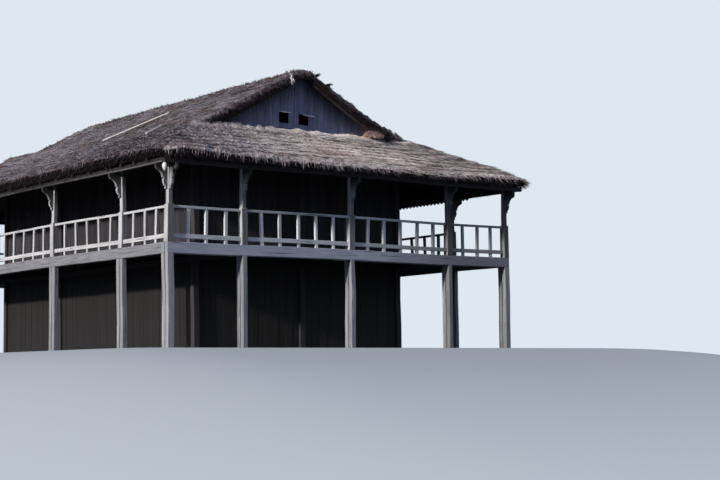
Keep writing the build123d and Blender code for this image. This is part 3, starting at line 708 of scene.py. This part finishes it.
def lumps(a, b, spacing, seed):
    """Soft random heights from -1 to 1 over a surface, about one lump every spacing metres."""
    table = np.random.default_rng(seed).uniform(-1, 1, (97, 97))
    p, q = a / spacing + 500.0, b / spacing + 500.0
    i, j = np.floor(p).astype(int), np.floor(q).astype(int)
    f, g = p - i, q - j
    f, g = f * f * (3 - 2 * f), g * g * (3 - 2 * g)
    i0, i1, j0, j1 = i % 97, (i + 1) % 97, j % 97, (j + 1) % 97
    return (table[i0, j0] * (1 - f) * (1 - g) + table[i1, j0] * f * (1 - g)
            + table[i0, j1] * (1 - f) * g + table[i1, j1] * f * g)


course_step = 0.050


def bedded(along, climb, pitch, seed):
    """Height of the straw over the line of the butts at a place along the eave and up the slope, and how
    light it is: each course starts in ragged pale butts and sinks under the next one, with painted shade
    where it sinks and in low places, and painted light on raised ones."""
    ragged = 0.07 * lumps(along, climb, 0.40, seed) + 0.05 * lumps(along, climb, 0.12, seed + 1)
    course = ((climb + ragged) / pitch) % 1
    body = (0.026 * lumps(along, climb, 1.5, seed + 2) + 0.020 * lumps(along, climb, 0.4, seed + 3)
            + 0.014 * lumps(along, climb, 0.13, seed + 4))
    butts, gap = np.exp(-course / 0.10), np.exp(-(1 - course) / 0.08)
    light = 0.45 + 0.30 * butts - 0.45 * gap + 5 * body
    return body - course_step * course, np.clip(light, 0, 1)


# Each stem is a slim three-sided spike with its root up the slope, laid down it with a little stray. A few
# stand up more than the others, and each has its own length, width and shade. They are drawn about 16 mm
# wide, far coarser than real ones, because finer ones would not show.
tree, given = new_tree("loose_stems", {
    "Bed": "Geometry", "Density": "Float", "Length": "Float", "Width": "Float", "Seed": "Int",
    "Straw": "Material"}, "Thatch")
loose_stems, bed, seed = tree, given.outputs["Bed"], given.outputs["Seed"]
stored = {name: node(tree, "GeometryNodeInputNamedAttribute", {"data_type": kind}, {"Name": name})
          for name, kind in (("cover", "FLOAT"), ("tone", "FLOAT"), ("fall", "FLOAT_VECTOR"))}
chance = {}
for part, (name, low, high) in enumerate((
    ("rise", 0, 1), ("length", 0.55, 1.25), ("width", 0.6, 1.5), ("shade", 0.5, 1.9),
), 1):
    own_seed = node(tree, "ShaderNodeMath", inputs={0: seed, 1: part})
    chance[name] = node(tree, "FunctionNodeRandomValue", {"data_type": "FLOAT"}, {
        2: low, 3: high, "Seed": own_seed}).outputs[1]
dense = node(tree, "ShaderNodeMath", times, {0: given.outputs["Density"], 1: stored["cover"]})
spots = node(tree, "GeometryNodeDistributePointsOnFaces", {"distribute_method": "RANDOM"}, {
    "Mesh": bed, "Density": dense, "Seed": seed})
stray = node(tree, "FunctionNodeRandomValue", {"data_type": "FLOAT_VECTOR"}, {
    "Min": (-0.30, -0.30, -0.10), "Max": (0.30, 0.30, 0.10), "Seed": seed})
few = node(tree, "ShaderNodeMath", {"operation": "POWER"}, {0: chance["rise"], 1: 4.0})
lift = node(tree, "ShaderNodeMath", {"operation": "MULTIPLY_ADD"}, {0: few, 1: 0.4, 2: 0.05})
raised = node(tree, "ShaderNodeVectorMath", {"operation": "SCALE"}, {
    0: spots.outputs["Normal"], "Scale": lift})
way = node(tree, "ShaderNodeVectorMath", plus, {0: stored["fall"], 1: stray})
way = node(tree, "ShaderNodeVectorMath", plus, {0: way, 1: raised})
way = node(tree, "ShaderNodeVectorMath", {"operation": "NORMALIZE"}, {0: way})
turn = node(tree, "FunctionNodeAxesToRotation", {"primary_axis": "Z", "secondary_axis": "Y"}, {
    "Primary Axis": way, "Secondary Axis": spots.outputs["Normal"]})
stem = node(tree, "GeometryNodeMeshCone", {"fill_type": "NGON"}, {
    "Vertices": 3, "Radius Top": 0.0, "Radius Bottom": 1.0, "Depth": 1.0})
long = node(tree, "ShaderNodeMath", times, {0: given.outputs["Length"], 1: chance["length"]})
wide = node(tree, "ShaderNodeMath", times, {0: given.outputs["Width"], 1: chance["width"]})
flat = node(tree, "ShaderNodeMath", times, {0: wide, 1: 0.5})
size = node(tree, "ShaderNodeCombineXYZ", inputs={0: wide, 1: flat, 2: long})
back = node(tree, "ShaderNodeMath", times, {0: long, 1: -0.35})
root = node(tree, "ShaderNodeVectorMath", {"operation": "SCALE"}, {0: way, "Scale": back})
rooted = node(tree, "GeometryNodeSetPosition", inputs={"Geometry": spots, "Offset": root})
stems = node(tree, "GeometryNodeInstanceOnPoints", inputs={
    "Points": rooted, "Instance": stem, "Rotation": turn, "Scale": size})
# Each stem takes the bed's tone, with its painted light and shade, times a random shade of its own.
shade = node(tree, "ShaderNodeMath", times, {0: stored["tone"], 1: chance["shade"]})
toned = node(tree, "GeometryNodeStoreNamedAttribute", {"data_type": "FLOAT", "domain": "INSTANCE"}, {
    "Geometry": stems, "Name": "tone", "Value": shade})
both = node(tree, "GeometryNodeJoinGeometry", inputs={0: bed})
feed(both, {0: toned})
end_tree(tree, both, given.outputs["Straw"], "Thatch")
stem_width = 0.016
box_margin = 0.002


def thatched(name, points, faces, falls, covers, tones, hides, look, seed, density=420, length=0.28,
             patches=False):
    """A closed bed of straw with loose stems over it. Each face has the way its stems lie and how many
    grow there, and each point has how light the straw is. Open patches only sow stems and are dropped."""
    bed = mesh_of(name, points, faces)
    work = bmesh.new()
    work.from_mesh(bed)
    bmesh.ops.recalc_face_normals(work, faces=work.faces)
    work.to_mesh(bed)
    work.free()
    for kept, kind, domain, key, rows in (
        ("tone", "FLOAT", "POINT", "value", tones), ("cover", "FLOAT", "FACE", "value", covers),
        ("fall", "FLOAT_VECTOR", "FACE", "vector", falls),
    ):
        bed.attributes.new(kept, kind, domain).data.foreach_set(key, np.ravel(rows).astype(float))
    mesh = grown(bed, loose_stems, {
        "Density": density, "Length": length, "Width": stem_width, "Seed": seed, "Straw": look})
    if patches:
        work = bmesh.new()
        work.from_mesh(mesh)
        open_faces = [face for face in work.faces if all(edge.is_boundary for edge in face.edges)]
        bmesh.ops.delete(work, geom=open_faces, context="FACES")
        work.to_mesh(mesh)
        work.free()
    moved(mesh, lambda places: np.clip(places, box_low + box_margin, box_high - box_margin))
    fitted(name, mesh, look, hides)


# How far stems turn down at the rim, on the cut end of the eave and over the verges, where they splay.
down = np.array([0.0, 0.0, -1.0])
rim_dip, rim_cover = 0.12, 1.2
cut_lie, cut_dip = 0.7, 0.8
verge_lie, verge_dip, verge_splay = 0.5, 0.7, 0.9


def slope_faces(rings, top_rows, end_rows, falls, closing_cover):
    """Faces that close a row of section rings into one body. Each ring runs down the top of the slope,
    round the cut end of the eave and back along the underside."""
    count, around = rings.shape[:2]
    faces, lie, cover = [], [], []
    for i in range(count - 1):
        for j in range(around):
            k = (j + 1) % around
            faces.append((i * around + j, (i + 1) * around + j, (i + 1) * around + k, i * around + k))
            if j < top_rows - 2:
                lie.append(falls[i])
            elif j < top_rows:
                lie.append(falls[i] + down * rim_dip)
            else:
                lie.append(falls[i] * cut_lie + down * cut_dip)
            cover.append(1.0 if j < top_rows - 2 else rim_cover if j < top_rows + end_rows else 0.0)
    for start, side in ((0, -1), ((count - 1) * around, 1)):
        faces.append(tuple(range(start, start + around)))
        lie.append(falls[0] * verge_lie + down * verge_dip + np.array([0, side * verge_splay, 0]))
        cover.append(closing_cover)
    return faces, lie, cover


def by_place(rows, place):
    """Turns rows of values up a slope into one column for each place along it."""
    return np.array([np.broadcast_to(row, place.shape) for row in rows]).T


straw = straw_material("grass_thatch_sun_bleached", shade="#463f43", body="#a0989c", bright="#ddd5d6",
                       patch="#d2c4bc")
old_straw = straw_material("grass_thatch_damp_grey", shade="#2a262a", body="#706970", bright="#aca5ad",
                           patch="#cda98a")
room_x, room_y = gable_half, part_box("gable_back")[1].y
eave_x, eave_y = float(box_high[0]), float(box_high[1])
thatch_depth = 0.25
top_level = 6.42
rafter_foot, rafter_depth = 4.758, 0.130
eave_top = rafter_foot + rafter_depth + thatch_depth
eave_radius = 0.65
eave_set_in = 0.07
eave_shade = -0.7
undercut = 0.17
sags = ((undercut, 0.02), (0.33, 0.11), (0.48, 0.11), (0.8, 0.02))
lit_cut_end_tone = -0.1
rim_droop, rim_reach = 0.10, 0.17
corner_droop = 0.20
heap_height, heap_from_gable, heap_reach = 0.13, 0.20, 0.24
skirt_courses = 8
cell_along = 0.07
cell_down = 0.045
end_cells = 4


# Straw is piled thicker where the slopes meet: how deep, and towards which end of the house. Every such
# hip stands a little high all the way down.
piles = {"left": (0.29, 1), "right": (0.19, -1), "front": (0.19, 1), "back": (0.29, -1)}
hip_pile = 0.05
pile_width = 0.80
pile_from, pile_run = 3.0, 2.5


def piled(side, back, away):
    """Depth of the straw piled up on a side of the house, at a place along it and away from the break."""
    depth, end = piles[side]
    return depth * np.exp(-(away / pile_width) ** 2) * np.clip((end * back - pile_from) / pile_run, 0, 1)


def skirt(side, look, seed):
    """One of the four lower slopes, which wraps round the rounded corners of the eaves to the hips."""
    ends = side in ("front", "back")
    wall_out, wall_half = (room_y, room_x) if ends else (room_x, room_y)
    out_limit, half_limit = (eave_y, eave_x) if ends else (eave_x, eave_y)
    slope = (top_level - eave_top) / (out_limit - wall_out)
    out_limit, half_limit = out_limit - eave_set_in, half_limit - eave_set_in
    hip = atan2(half_limit - wall_half, out_limit - wall_out)
    lean_out, lean_along = wall_out - out_limit + eave_radius, wall_half - half_limit + eave_radius
    turn = hip + asin((lean_out * sin(hip) - lean_along * cos(hip)) / eave_radius)
    straight = half_limit - eave_radius
    half_run = straight + eave_radius * turn
    count = round(2 * half_run / cell_along)
    run = out_limit - wall_out
    length = hypot(run, slope * run)
    rows = round(length / cell_down)
    place = np.linspace(-half_run, half_run, count + 1)
    bend = np.clip((np.abs(place) - straight) / eave_radius, 0, None)
    eave_out = out_limit - eave_radius + eave_radius * np.cos(bend)
    eave_along = np.sign(place) * (np.minimum(np.abs(place), straight) + eave_radius * np.sin(bend))
    wall_along = wall_half * place / half_run

    def at(up):
        """Plan of the slope at a share of the way up, as distances out and along."""
        return eave_out + (wall_out - eave_out) * up, eave_along + (wall_along - eave_along) * up

    drooping = rim_droop * np.clip((straight - np.abs(place)) / 3.0, 0, 1) * (side != "left")
    depth, end = piles[side]
    near_hip = np.clip((end * place / half_run - 0.70) / 0.30, 0, 1) ** 1.5
    nudge = 0.03 * lumps(place, 0.0, 0.22, seed + 9) + 0.02 * lumps(place, 0.0, 0.08, seed + 8)
    rings, tones = [], []
    for step in range(rows, -1, -1):
        up = step / rows
        out, along = at(up)
        height, tone = bedded(place, up * length, length / skirt_courses, seed)
        rim = exp(-(up * length / rim_reach) ** 2)
        level = top_level - slope * (out - wall_out) + height
        heap = exp(-(((1 - up) * length - heap_from_gable) / heap_reach) ** 2) if ends else 0.0
        heaped = heap * (heap_height + 0.05 * lumps(place, 0.0, 0.30, seed + 5))
        low_share, high_share = min(1, up / 0.12), min(max((up - 0.45) / 0.4, 0), 1)
        on_hip = near_hip * (hip_pile * low_share + (depth - hip_pile) * high_share)
        if not ends:
            on_hip = np.maximum(on_hip, piled(side, along, (1 - up) * length))
        droop = corner_droop * bend * max(0.0, 1 - up / 0.25) + drooping * rim
        rings.append((out + nudge * (1 - up) ** 4, along, level + np.maximum(heaped, on_hip) - droop))
        # Painted shade: the front skirt is painted darker towards the right and up the slope.
        painted_right_shade = (0.12 + 0.22 * up) * np.clip((along - 0.5) / 3, 0, 1) if side == "front" else 0.0
        # Painted light: the rim of all but the left skirt, and the heap at the gable foot, are painted
        # lighter.
        lit_rim = 0.0 if side == "left" else 0.5 * rim
        tones.append(np.clip(tone + 0.9 * heap + lit_rim - painted_right_shade, 0, 1.4))
    for step in range(1, end_cells):
        share = step / end_cells
        out, along = at(undercut / run * share)
        rough = 0.03 * lumps(place, step * 0.3, 0.10, seed + 7)
        level = (top_level - slope * (out - wall_out) - share * thatch_depth
                 - corner_droop * bend * (1 - 0.5 * share) - drooping * (1 - share))
        rings.append((out + rough, along, level))
        # Painted light on the top ring of the cut end; the rest of the cut end and the underside carry
        # painted shade.
        tones.append(lit_cut_end_tone if step == 1 and look == straw else eave_shade)
    for inset, sag in (*sags, (run, 0.0)):
        out, along = at(inset / run)
        rings.append((out, along, top_level - slope * (out - wall_out) - thatch_depth - sag))
        tones.append(eave_shade)
    out, along, level = (by_place([ring[i] for ring in rings], place) for i in range(3))
    axis, way = (0 if ends else 1), (-1 if side in ("front", "left") else 1)
    drop = np.stack([eave_out - wall_out, eave_along - wall_along], -1)
    drop /= np.linalg.norm(drop, axis=1)[:, None]
    rings = np.stack([*plan(axis, along, out * way), level], -1)
    falls = np.stack([*plan(axis, drop[:, 1], drop[:, 0] * way), -slope * drop[:, 0]], -1)
    faces, lie, cover = slope_faces(rings, rows, end_cells, falls, 0.0)
    thatched("straw_skirt_" + side, rings.reshape(-1, 3), faces, lie, cover, by_place(tones, place),
             ["thatch_skirt_" + side], look, seed)


skirt("front", straw, 131)
skirt("back", straw, 141)
skirt("right", straw, 151)
skirt("left", old_straw, 161)

# Upper slopes: the same straw from the break up to the ridge, running past the gables in thick ragged
# verges that rest on the lower slopes at the two ends. The left one swells towards the back.
ridge_half, verge_y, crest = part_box("thatch_ridge")[1]
rise = 0.5401
ridge_shoulder = top_level + rise * (room_x - ridge_half)
upper_courses = 9
lap = 0.10
verge_set_in = 0.05
verge_roll = 0.13
verge_cover = 2.6
count = round(2 * verge_y / cell_along)
place = np.linspace(-verge_y + verge_set_in, verge_y - verge_set_in, count + 1)
swell = {"left": 0.07, "right": 0.0}


def upper_slope(side, look, seed):
    """One of the two upper slopes, from its lap over the skirt up to the edge of the ridge."""
    way = -1 if side == "left" else 1
    run = room_x + lap - ridge_half
    length = hypot(run, rise * run)
    pitch = hypot(1, rise) * (room_x - ridge_half) / upper_courses
    rows = round(length / cell_down)
    near_verge = np.exp(-(verge_y - np.abs(place)) / 0.25)
    roll = verge_roll * np.clip((np.abs(place) - room_y) / 0.10, 0, 1)
    nudge = 0.04 * lumps(place, 0.0, 0.22, seed + 9)
    rings, tones = [], []
    for step in range(rows, -1, -1):
        up = step / rows
        out = room_x + lap - run * up
        climb = up * length - hypot(1, rise) * lap
        height, tone = bedded(place, climb, pitch, seed)
        belly = swell[side] * sin(pi * up) * np.clip((place + 3) / 6, 0, 1)
        level = top_level + rise * (room_x - out) + height + belly + piled(side, place, abs(climb))
        ragged = 0.05 * lumps(up * length, 0.0, 0.2, seed + 6) * np.sign(place)
        rings.append((out + nudge * (1 - up) ** 6, place + ragged * near_verge, level))
        tones.append(tone)
    for step in range(1, end_cells):
        share = step / end_cells
        out = room_x + lap * (1 - share)
        rings.append((out, place, top_level + rise * (room_x - out) - share * (thatch_depth + roll)))
        tones.append(eave_shade)
    for out in (room_x, ridge_half):
        rings.append((out, place, top_level + rise * (room_x - out) - thatch_depth - roll))
        tones.append(eave_shade)
    out, along, level = (by_place([ring[i] for ring in rings], place) for i in range(3))
    rings = np.stack([out * way, along, level], -1)
    falls = np.tile(np.array([way, 0, -rise]) / hypot(1, rise), (len(place), 1))
    faces, lie, cover = slope_faces(rings, rows, end_cells, falls, verge_cover)
    thatched("straw_" + side, rings.reshape(-1, 3), faces, lie, cover, by_place(tones, place),
             ["thatch_" + side], look, seed)


upper_slope("left", old_straw, 171)
upper_slope("right", straw, 181)

# Ridge: straw bent over from both sides and pressed down, which closes the two slopes at the top. At
# the front it ends in dark clumps that stand up and a pale wisp that hangs before the gable.
ridge_lap = 0.10
ridge_depth = 0.16
half = ridge_half + ridge_lap
ridge_rows = 22
rings, tones = [], []
for step in range(ridge_rows + 1):
    out = half * (1 - 2 * step / ridge_rows)
    bent = min(abs(out), ridge_half) / ridge_half
    level = (ridge_shoulder + (crest - ridge_shoulder) * (1 - bent**1.4)
             - rise * max(abs(out) - ridge_half, 0))
    height = (0.024 * lumps(place, out, 0.5, 191) + 0.018 * lumps(place, out, 0.13, 192)
              + 0.016 * lumps(place, 0.0, 1.4, 193))
    rings.append((out, place, level - 0.02 + height))
    # Painted light and shade: raised lumps of the ridge are lighter, low ones darker.
    tones.append(np.clip(0.40 + 6 * height, 0, 1))
for out in (-half, half):
    rings.append((out, place, ridge_shoulder - ridge_depth))
    tones.append(eave_shade)
rings = np.stack([by_place([ring[i] for ring in rings], place) for i in range(3)], -1)
falls = np.tile(np.array([0.15, 0.0, -0.1]), (len(place), 1))
faces, lie, cover = slope_faces(rings, ridge_rows, 0, falls, verge_cover)
points, tones = rings.reshape(-1, 3), by_place(tones, place).ravel()
clump_half = 0.035
for spot, way, thick in (
    ((0.12, -6.20, 8.19), (0.6, -0.4, 0.40), 20.0),
    ((0.42, -6.20, 8.13), (0.8, -0.2, 0.35), 34.0),
    ((0.86, -6.20, 7.90), (0.8, -0.2, 0.25), 30.0),
):
    faces.append(tuple(range(len(points), len(points) + 4)))
    corners = np.array(spot) + clump_half * np.array([(-1, 0, -1), (1, 0, -1), (1, 0, 1), (-1, 0, 1)])
    points, tones = np.concatenate([points, corners]), np.concatenate([tones, np.zeros(4)])
    lie.append(way)
    cover.append(thick)
thatched("straw_ridge", points, faces, lie, cover, tones, ["thatch_ridge"], old_straw, 191, patches=True)

wisp_straw = straw_material("grass_wisp_bleached_white", shade="#b9b2b0", body="#efe9e4", bright="#ffffff",
                            patch="#f4ece6")
wisp_top, wisp_foot = np.array([-0.46, -6.27, 8.02]), np.array([-0.50, -6.30, 7.88])
points = [spot + (aside, 0, 0) for spot, aside in (
    (wisp_top, -0.04), (wisp_top, 0.04), (wisp_foot, 0.02), (wisp_foot, -0.02))]
thatched("straw_wisp", points, [(0, 1, 2, 3)], [(-0.1, -0.1, -1.0)], [8.0], np.ones(4), [], wisp_straw, 193,
         patches=True)

# Mended place: a heap of newer grass laid over the join where the right verge meets the front slope. It
# hasn't greyed yet, and shows as a pinkish tan lump.
new_straw = straw_material("grass_thatch_newer_tan", shade="#7a6461", body="#c6aaa8", bright="#efdcd8",
                           patch="#e4d0ca")
heap_x, heap_y, heap_z = 2.58, -6.24, 6.52
heap_half = (0.36, 0.24, 0.12)
turns, rounds = 18, 5
points = [(heap_x, heap_y, heap_z + heap_half[2])]
for ring in range(1, rounds + 1):
    for i in range(turns):
        angle, share = 2 * pi * i / turns, ring / rounds
        slump = 0.4 * heap_half[1] * share * max(-sin(angle), 0)
        points.append((heap_x + heap_half[0] * share * cos(angle),
                       heap_y + heap_half[1] * share * sin(angle),
                       heap_z + heap_half[2] * (1 - share**2) - slump))
faces = [(0, 1 + i, 1 + (i + 1) % turns) for i in range(turns)]
for ring in range(rounds - 1):
    start = 1 + ring * turns
    faces += [(start + i, start + turns + i, start + turns + (i + 1) % turns, start + (i + 1) % turns)
              for i in range(turns)]
faces.append(tuple(1 + (rounds - 1) * turns + i for i in range(turns)))
lie = [(-0.45, -0.75, 0.25)] * len(faces)
thatched("straw_mended_heap", points, faces, lie, [1.0] * (len(faces) - 1) + [0.0],
         np.full(len(points), 0.5), [], new_straw, 195, density=1300, length=0.22)


# Eave sheet: corrugated steel, galvanised and gone dull, laid over the rafters along the right eave
# under the straw, with its waves running down the slope, 177 mm apart and 46 mm high.
def mottled(name, roughness, spacing, one, other, detail=3.0, start=0.0, end=1.0):
    """A material of two close colours, mixed in soft blotches about one spacing apart."""
    made, tree, shader = plain_material(name, roughness)
    where = node(tree, "ShaderNodeTexCoord").outputs["Object"]
    blotches = node(tree, "ShaderNodeTexNoise", inputs={
        "Vector": where, "Scale": 1 / spacing, "Detail": detail})
    share = node(tree, "ShaderNodeMapRange", inputs={"Value": blotches, "From Min": start, "From Max": end})
    colour = node(tree, "ShaderNodeMixRGB", inputs={
        "Fac": share, "Color1": linear(one), "Color2": linear(other)})
    feed(shader, {"Base Color": colour})
    return made, shader


wave_pitch = 0.177
wave_height = 0.023
wave_steps = 12
sheet_gauge = 0.002
sheet_bend = 0.25
sheet_droop = 0.075
head_inset, foot_inset = 0.007, 0.017
sheet_steel, shader = mottled("galvanised_steel_dull_corrugated", 0.55, 0.25, "#6d7278", "#b4b9bd",
                              detail=4.0)
shader.inputs["Metallic"].default_value = 0.7
tree, given = new_tree("corrugated_sheet", {
    "Grid": "Geometry", "Pitch": "Float", "Height": "Float", "Steel": "Material"}, "Sheet")
parts = node(tree, "ShaderNodeSeparateXYZ", inputs={0: node(tree, "GeometryNodeInputPosition")})
turns = node(tree, "ShaderNodeMath", {"operation": "DIVIDE"}, {
    0: parts.outputs["Y"], 1: given.outputs["Pitch"]})
angle = node(tree, "ShaderNodeMath", times, {0: turns, 1: 2 * pi})
wave = node(tree, "ShaderNodeMath", {"operation": "SINE"}, {0: angle})
lift = node(tree, "ShaderNodeMath", times, {0: wave, 1: given.outputs["Height"]})
shift = node(tree, "ShaderNodeCombineXYZ", inputs={2: lift})
waved = node(tree, "GeometryNodeSetPosition", inputs={"Geometry": given.outputs["Grid"], "Offset": shift})
end_tree(tree, waved, given.outputs["Steel"], "Sheet")
low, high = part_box("eave_sheet")
steps = round((high.y - low.y) / wave_pitch * wave_steps)
foot = low.z + foot_inset
sheet_rise = (high.z - low.z - head_inset - foot_inset) / (high.x - low.x)
section = ((low.x, high.z - head_inset), (high.x - sheet_bend, foot + sheet_rise * sheet_bend),
           (high.x, foot - sheet_droop))
grid = [(x, y, z) for y in np.linspace(low.y, high.y, steps + 1) for x, z in section]
faces = [(3 * i + j, 3 * i + j + 1, 3 * i + j + 4, 3 * i + j + 3) for i in range(steps) for j in range(2)]
mesh = grown(mesh_of("sheet_grid", grid, faces), tree, {
    "Pitch": wave_pitch, "Height": wave_height, "Steel": sheet_steel}, gauge=sheet_gauge)
fitted("corrugated_eave_sheet", mesh, sheet_steel, ["eave_sheet"])


# Corner drop: a softwood drop turned on a lathe and limewashed, which leaves it a soft even white. It
# hangs on a slim peg where the two eave purlins meet.
def turned(name, axis_points, radii, sides=24):
    """Smooth body of revolution along a line of points, with one radius at each and closed ends."""
    axis_points = np.array(axis_points, float)
    way = Vector(axis_points[-1] - axis_points[0]).normalized()
    side = way.orthogonal().normalized()
    third = way.cross(side)
    points, faces = [], []
    for centre, radius in zip(axis_points, radii):
        for i in range(sides):
            angle = 2 * pi * i / sides
            points.append(Vector(centre) + (side * cos(angle) + third * sin(angle)) * radius)
    for i in range(len(axis_points) - 1):
        for j in range(sides):
            k = (j + 1) % sides
            faces.append((i * sides + j, i * sides + k, (i + 1) * sides + k, (i + 1) * sides + j))
    faces.append(tuple(reversed(range(sides))))
    faces.append(tuple(range((len(axis_points) - 1) * sides, len(axis_points) * sides)))
    mesh = mesh_of(name, points, faces)
    mesh.shade_smooth()
    return mesh


limewash, shader = mottled("limewashed_turned_softwood", 0.7, 0.05, "#fbfbfd", "#d9d7d6",
                           start=0.52, end=0.7)
low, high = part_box("corner_pendant")
centre_x, centre_y = (low.x + high.x) / 2, (low.y + high.y) / 2
drop_radius = (high.x - low.x) / 2
peg_radius = 0.012
drop_top, drop_foot = high.z - 0.012, low.z + 0.06
drop_steps = 24
centres, radii = [(centre_x, centre_y, high.z), (centre_x, centre_y, drop_top)], [peg_radius, peg_radius]
for step in range(1, drop_steps + 1):
    share = step / drop_steps
    centres.append((centre_x, centre_y, drop_top + (drop_foot - drop_top) * share))
    radii.append(max(drop_radius * sin(pi * share**0.8) ** 0.75, peg_radius * (1 - share) + 0.002))
fitted("turned_corner_drop", turned("turned_corner_drop", centres, radii), limewash,
       ["corner_pendant"])

# Poles on the roof: a length of bamboo and a stick, bleached white, that lie loose on the left slope.
# The bamboo swells a little at each joint.
bamboo, shader = mottled("bamboo_sun_bleached", 0.55, 0.12, "#b3adae", "#efeaec")
work = bmesh.new()
work.from_mesh(nodes["roof_poles"].data)
bmesh.ops.remove_doubles(work, verts=work.verts, dist=0.0002)
spots = np.array([v.co for v in work.verts])
work.free()
between_poles = -3.2
on_stick = spots[:, 0] < between_poles
joint_spacing = 0.36
joint_half_width = 0.018
for name, chosen, shift, hides in (
    ("bamboo_on_roof", ~on_stick, (-0.10, -0.18, -0.045), ["roof_poles"]),
    ("stick_on_roof", on_stick, (-0.20, -0.32, -0.02), []),
):
    cloud = spots[chosen]
    middle = cloud.mean(0)
    way = np.linalg.svd(cloud - middle)[2][0]
    along = (cloud - middle) @ way
    start, end = middle + way * along.min(), middle + way * along.max()
    radius = float(np.linalg.norm((cloud - middle) - np.outer(along, way), axis=1).max())
    length = np.linalg.norm(end - start)
    places = np.linspace(0, 1, round(length / 0.03) + 1)
    from_joint = ((places * length / joint_spacing) % 1 - 0.5) * joint_spacing
    swelling = np.exp(-(from_joint / joint_half_width) ** 2)
    radii = radius * (0.66 + 0.12 * swelling if hides else 1.45 - 0.3 * places)
    centres = start + np.outer(places, end - start) + np.array(shift)
    fitted(name, turned(name, centres, radii, sides=12), bamboo, hides)
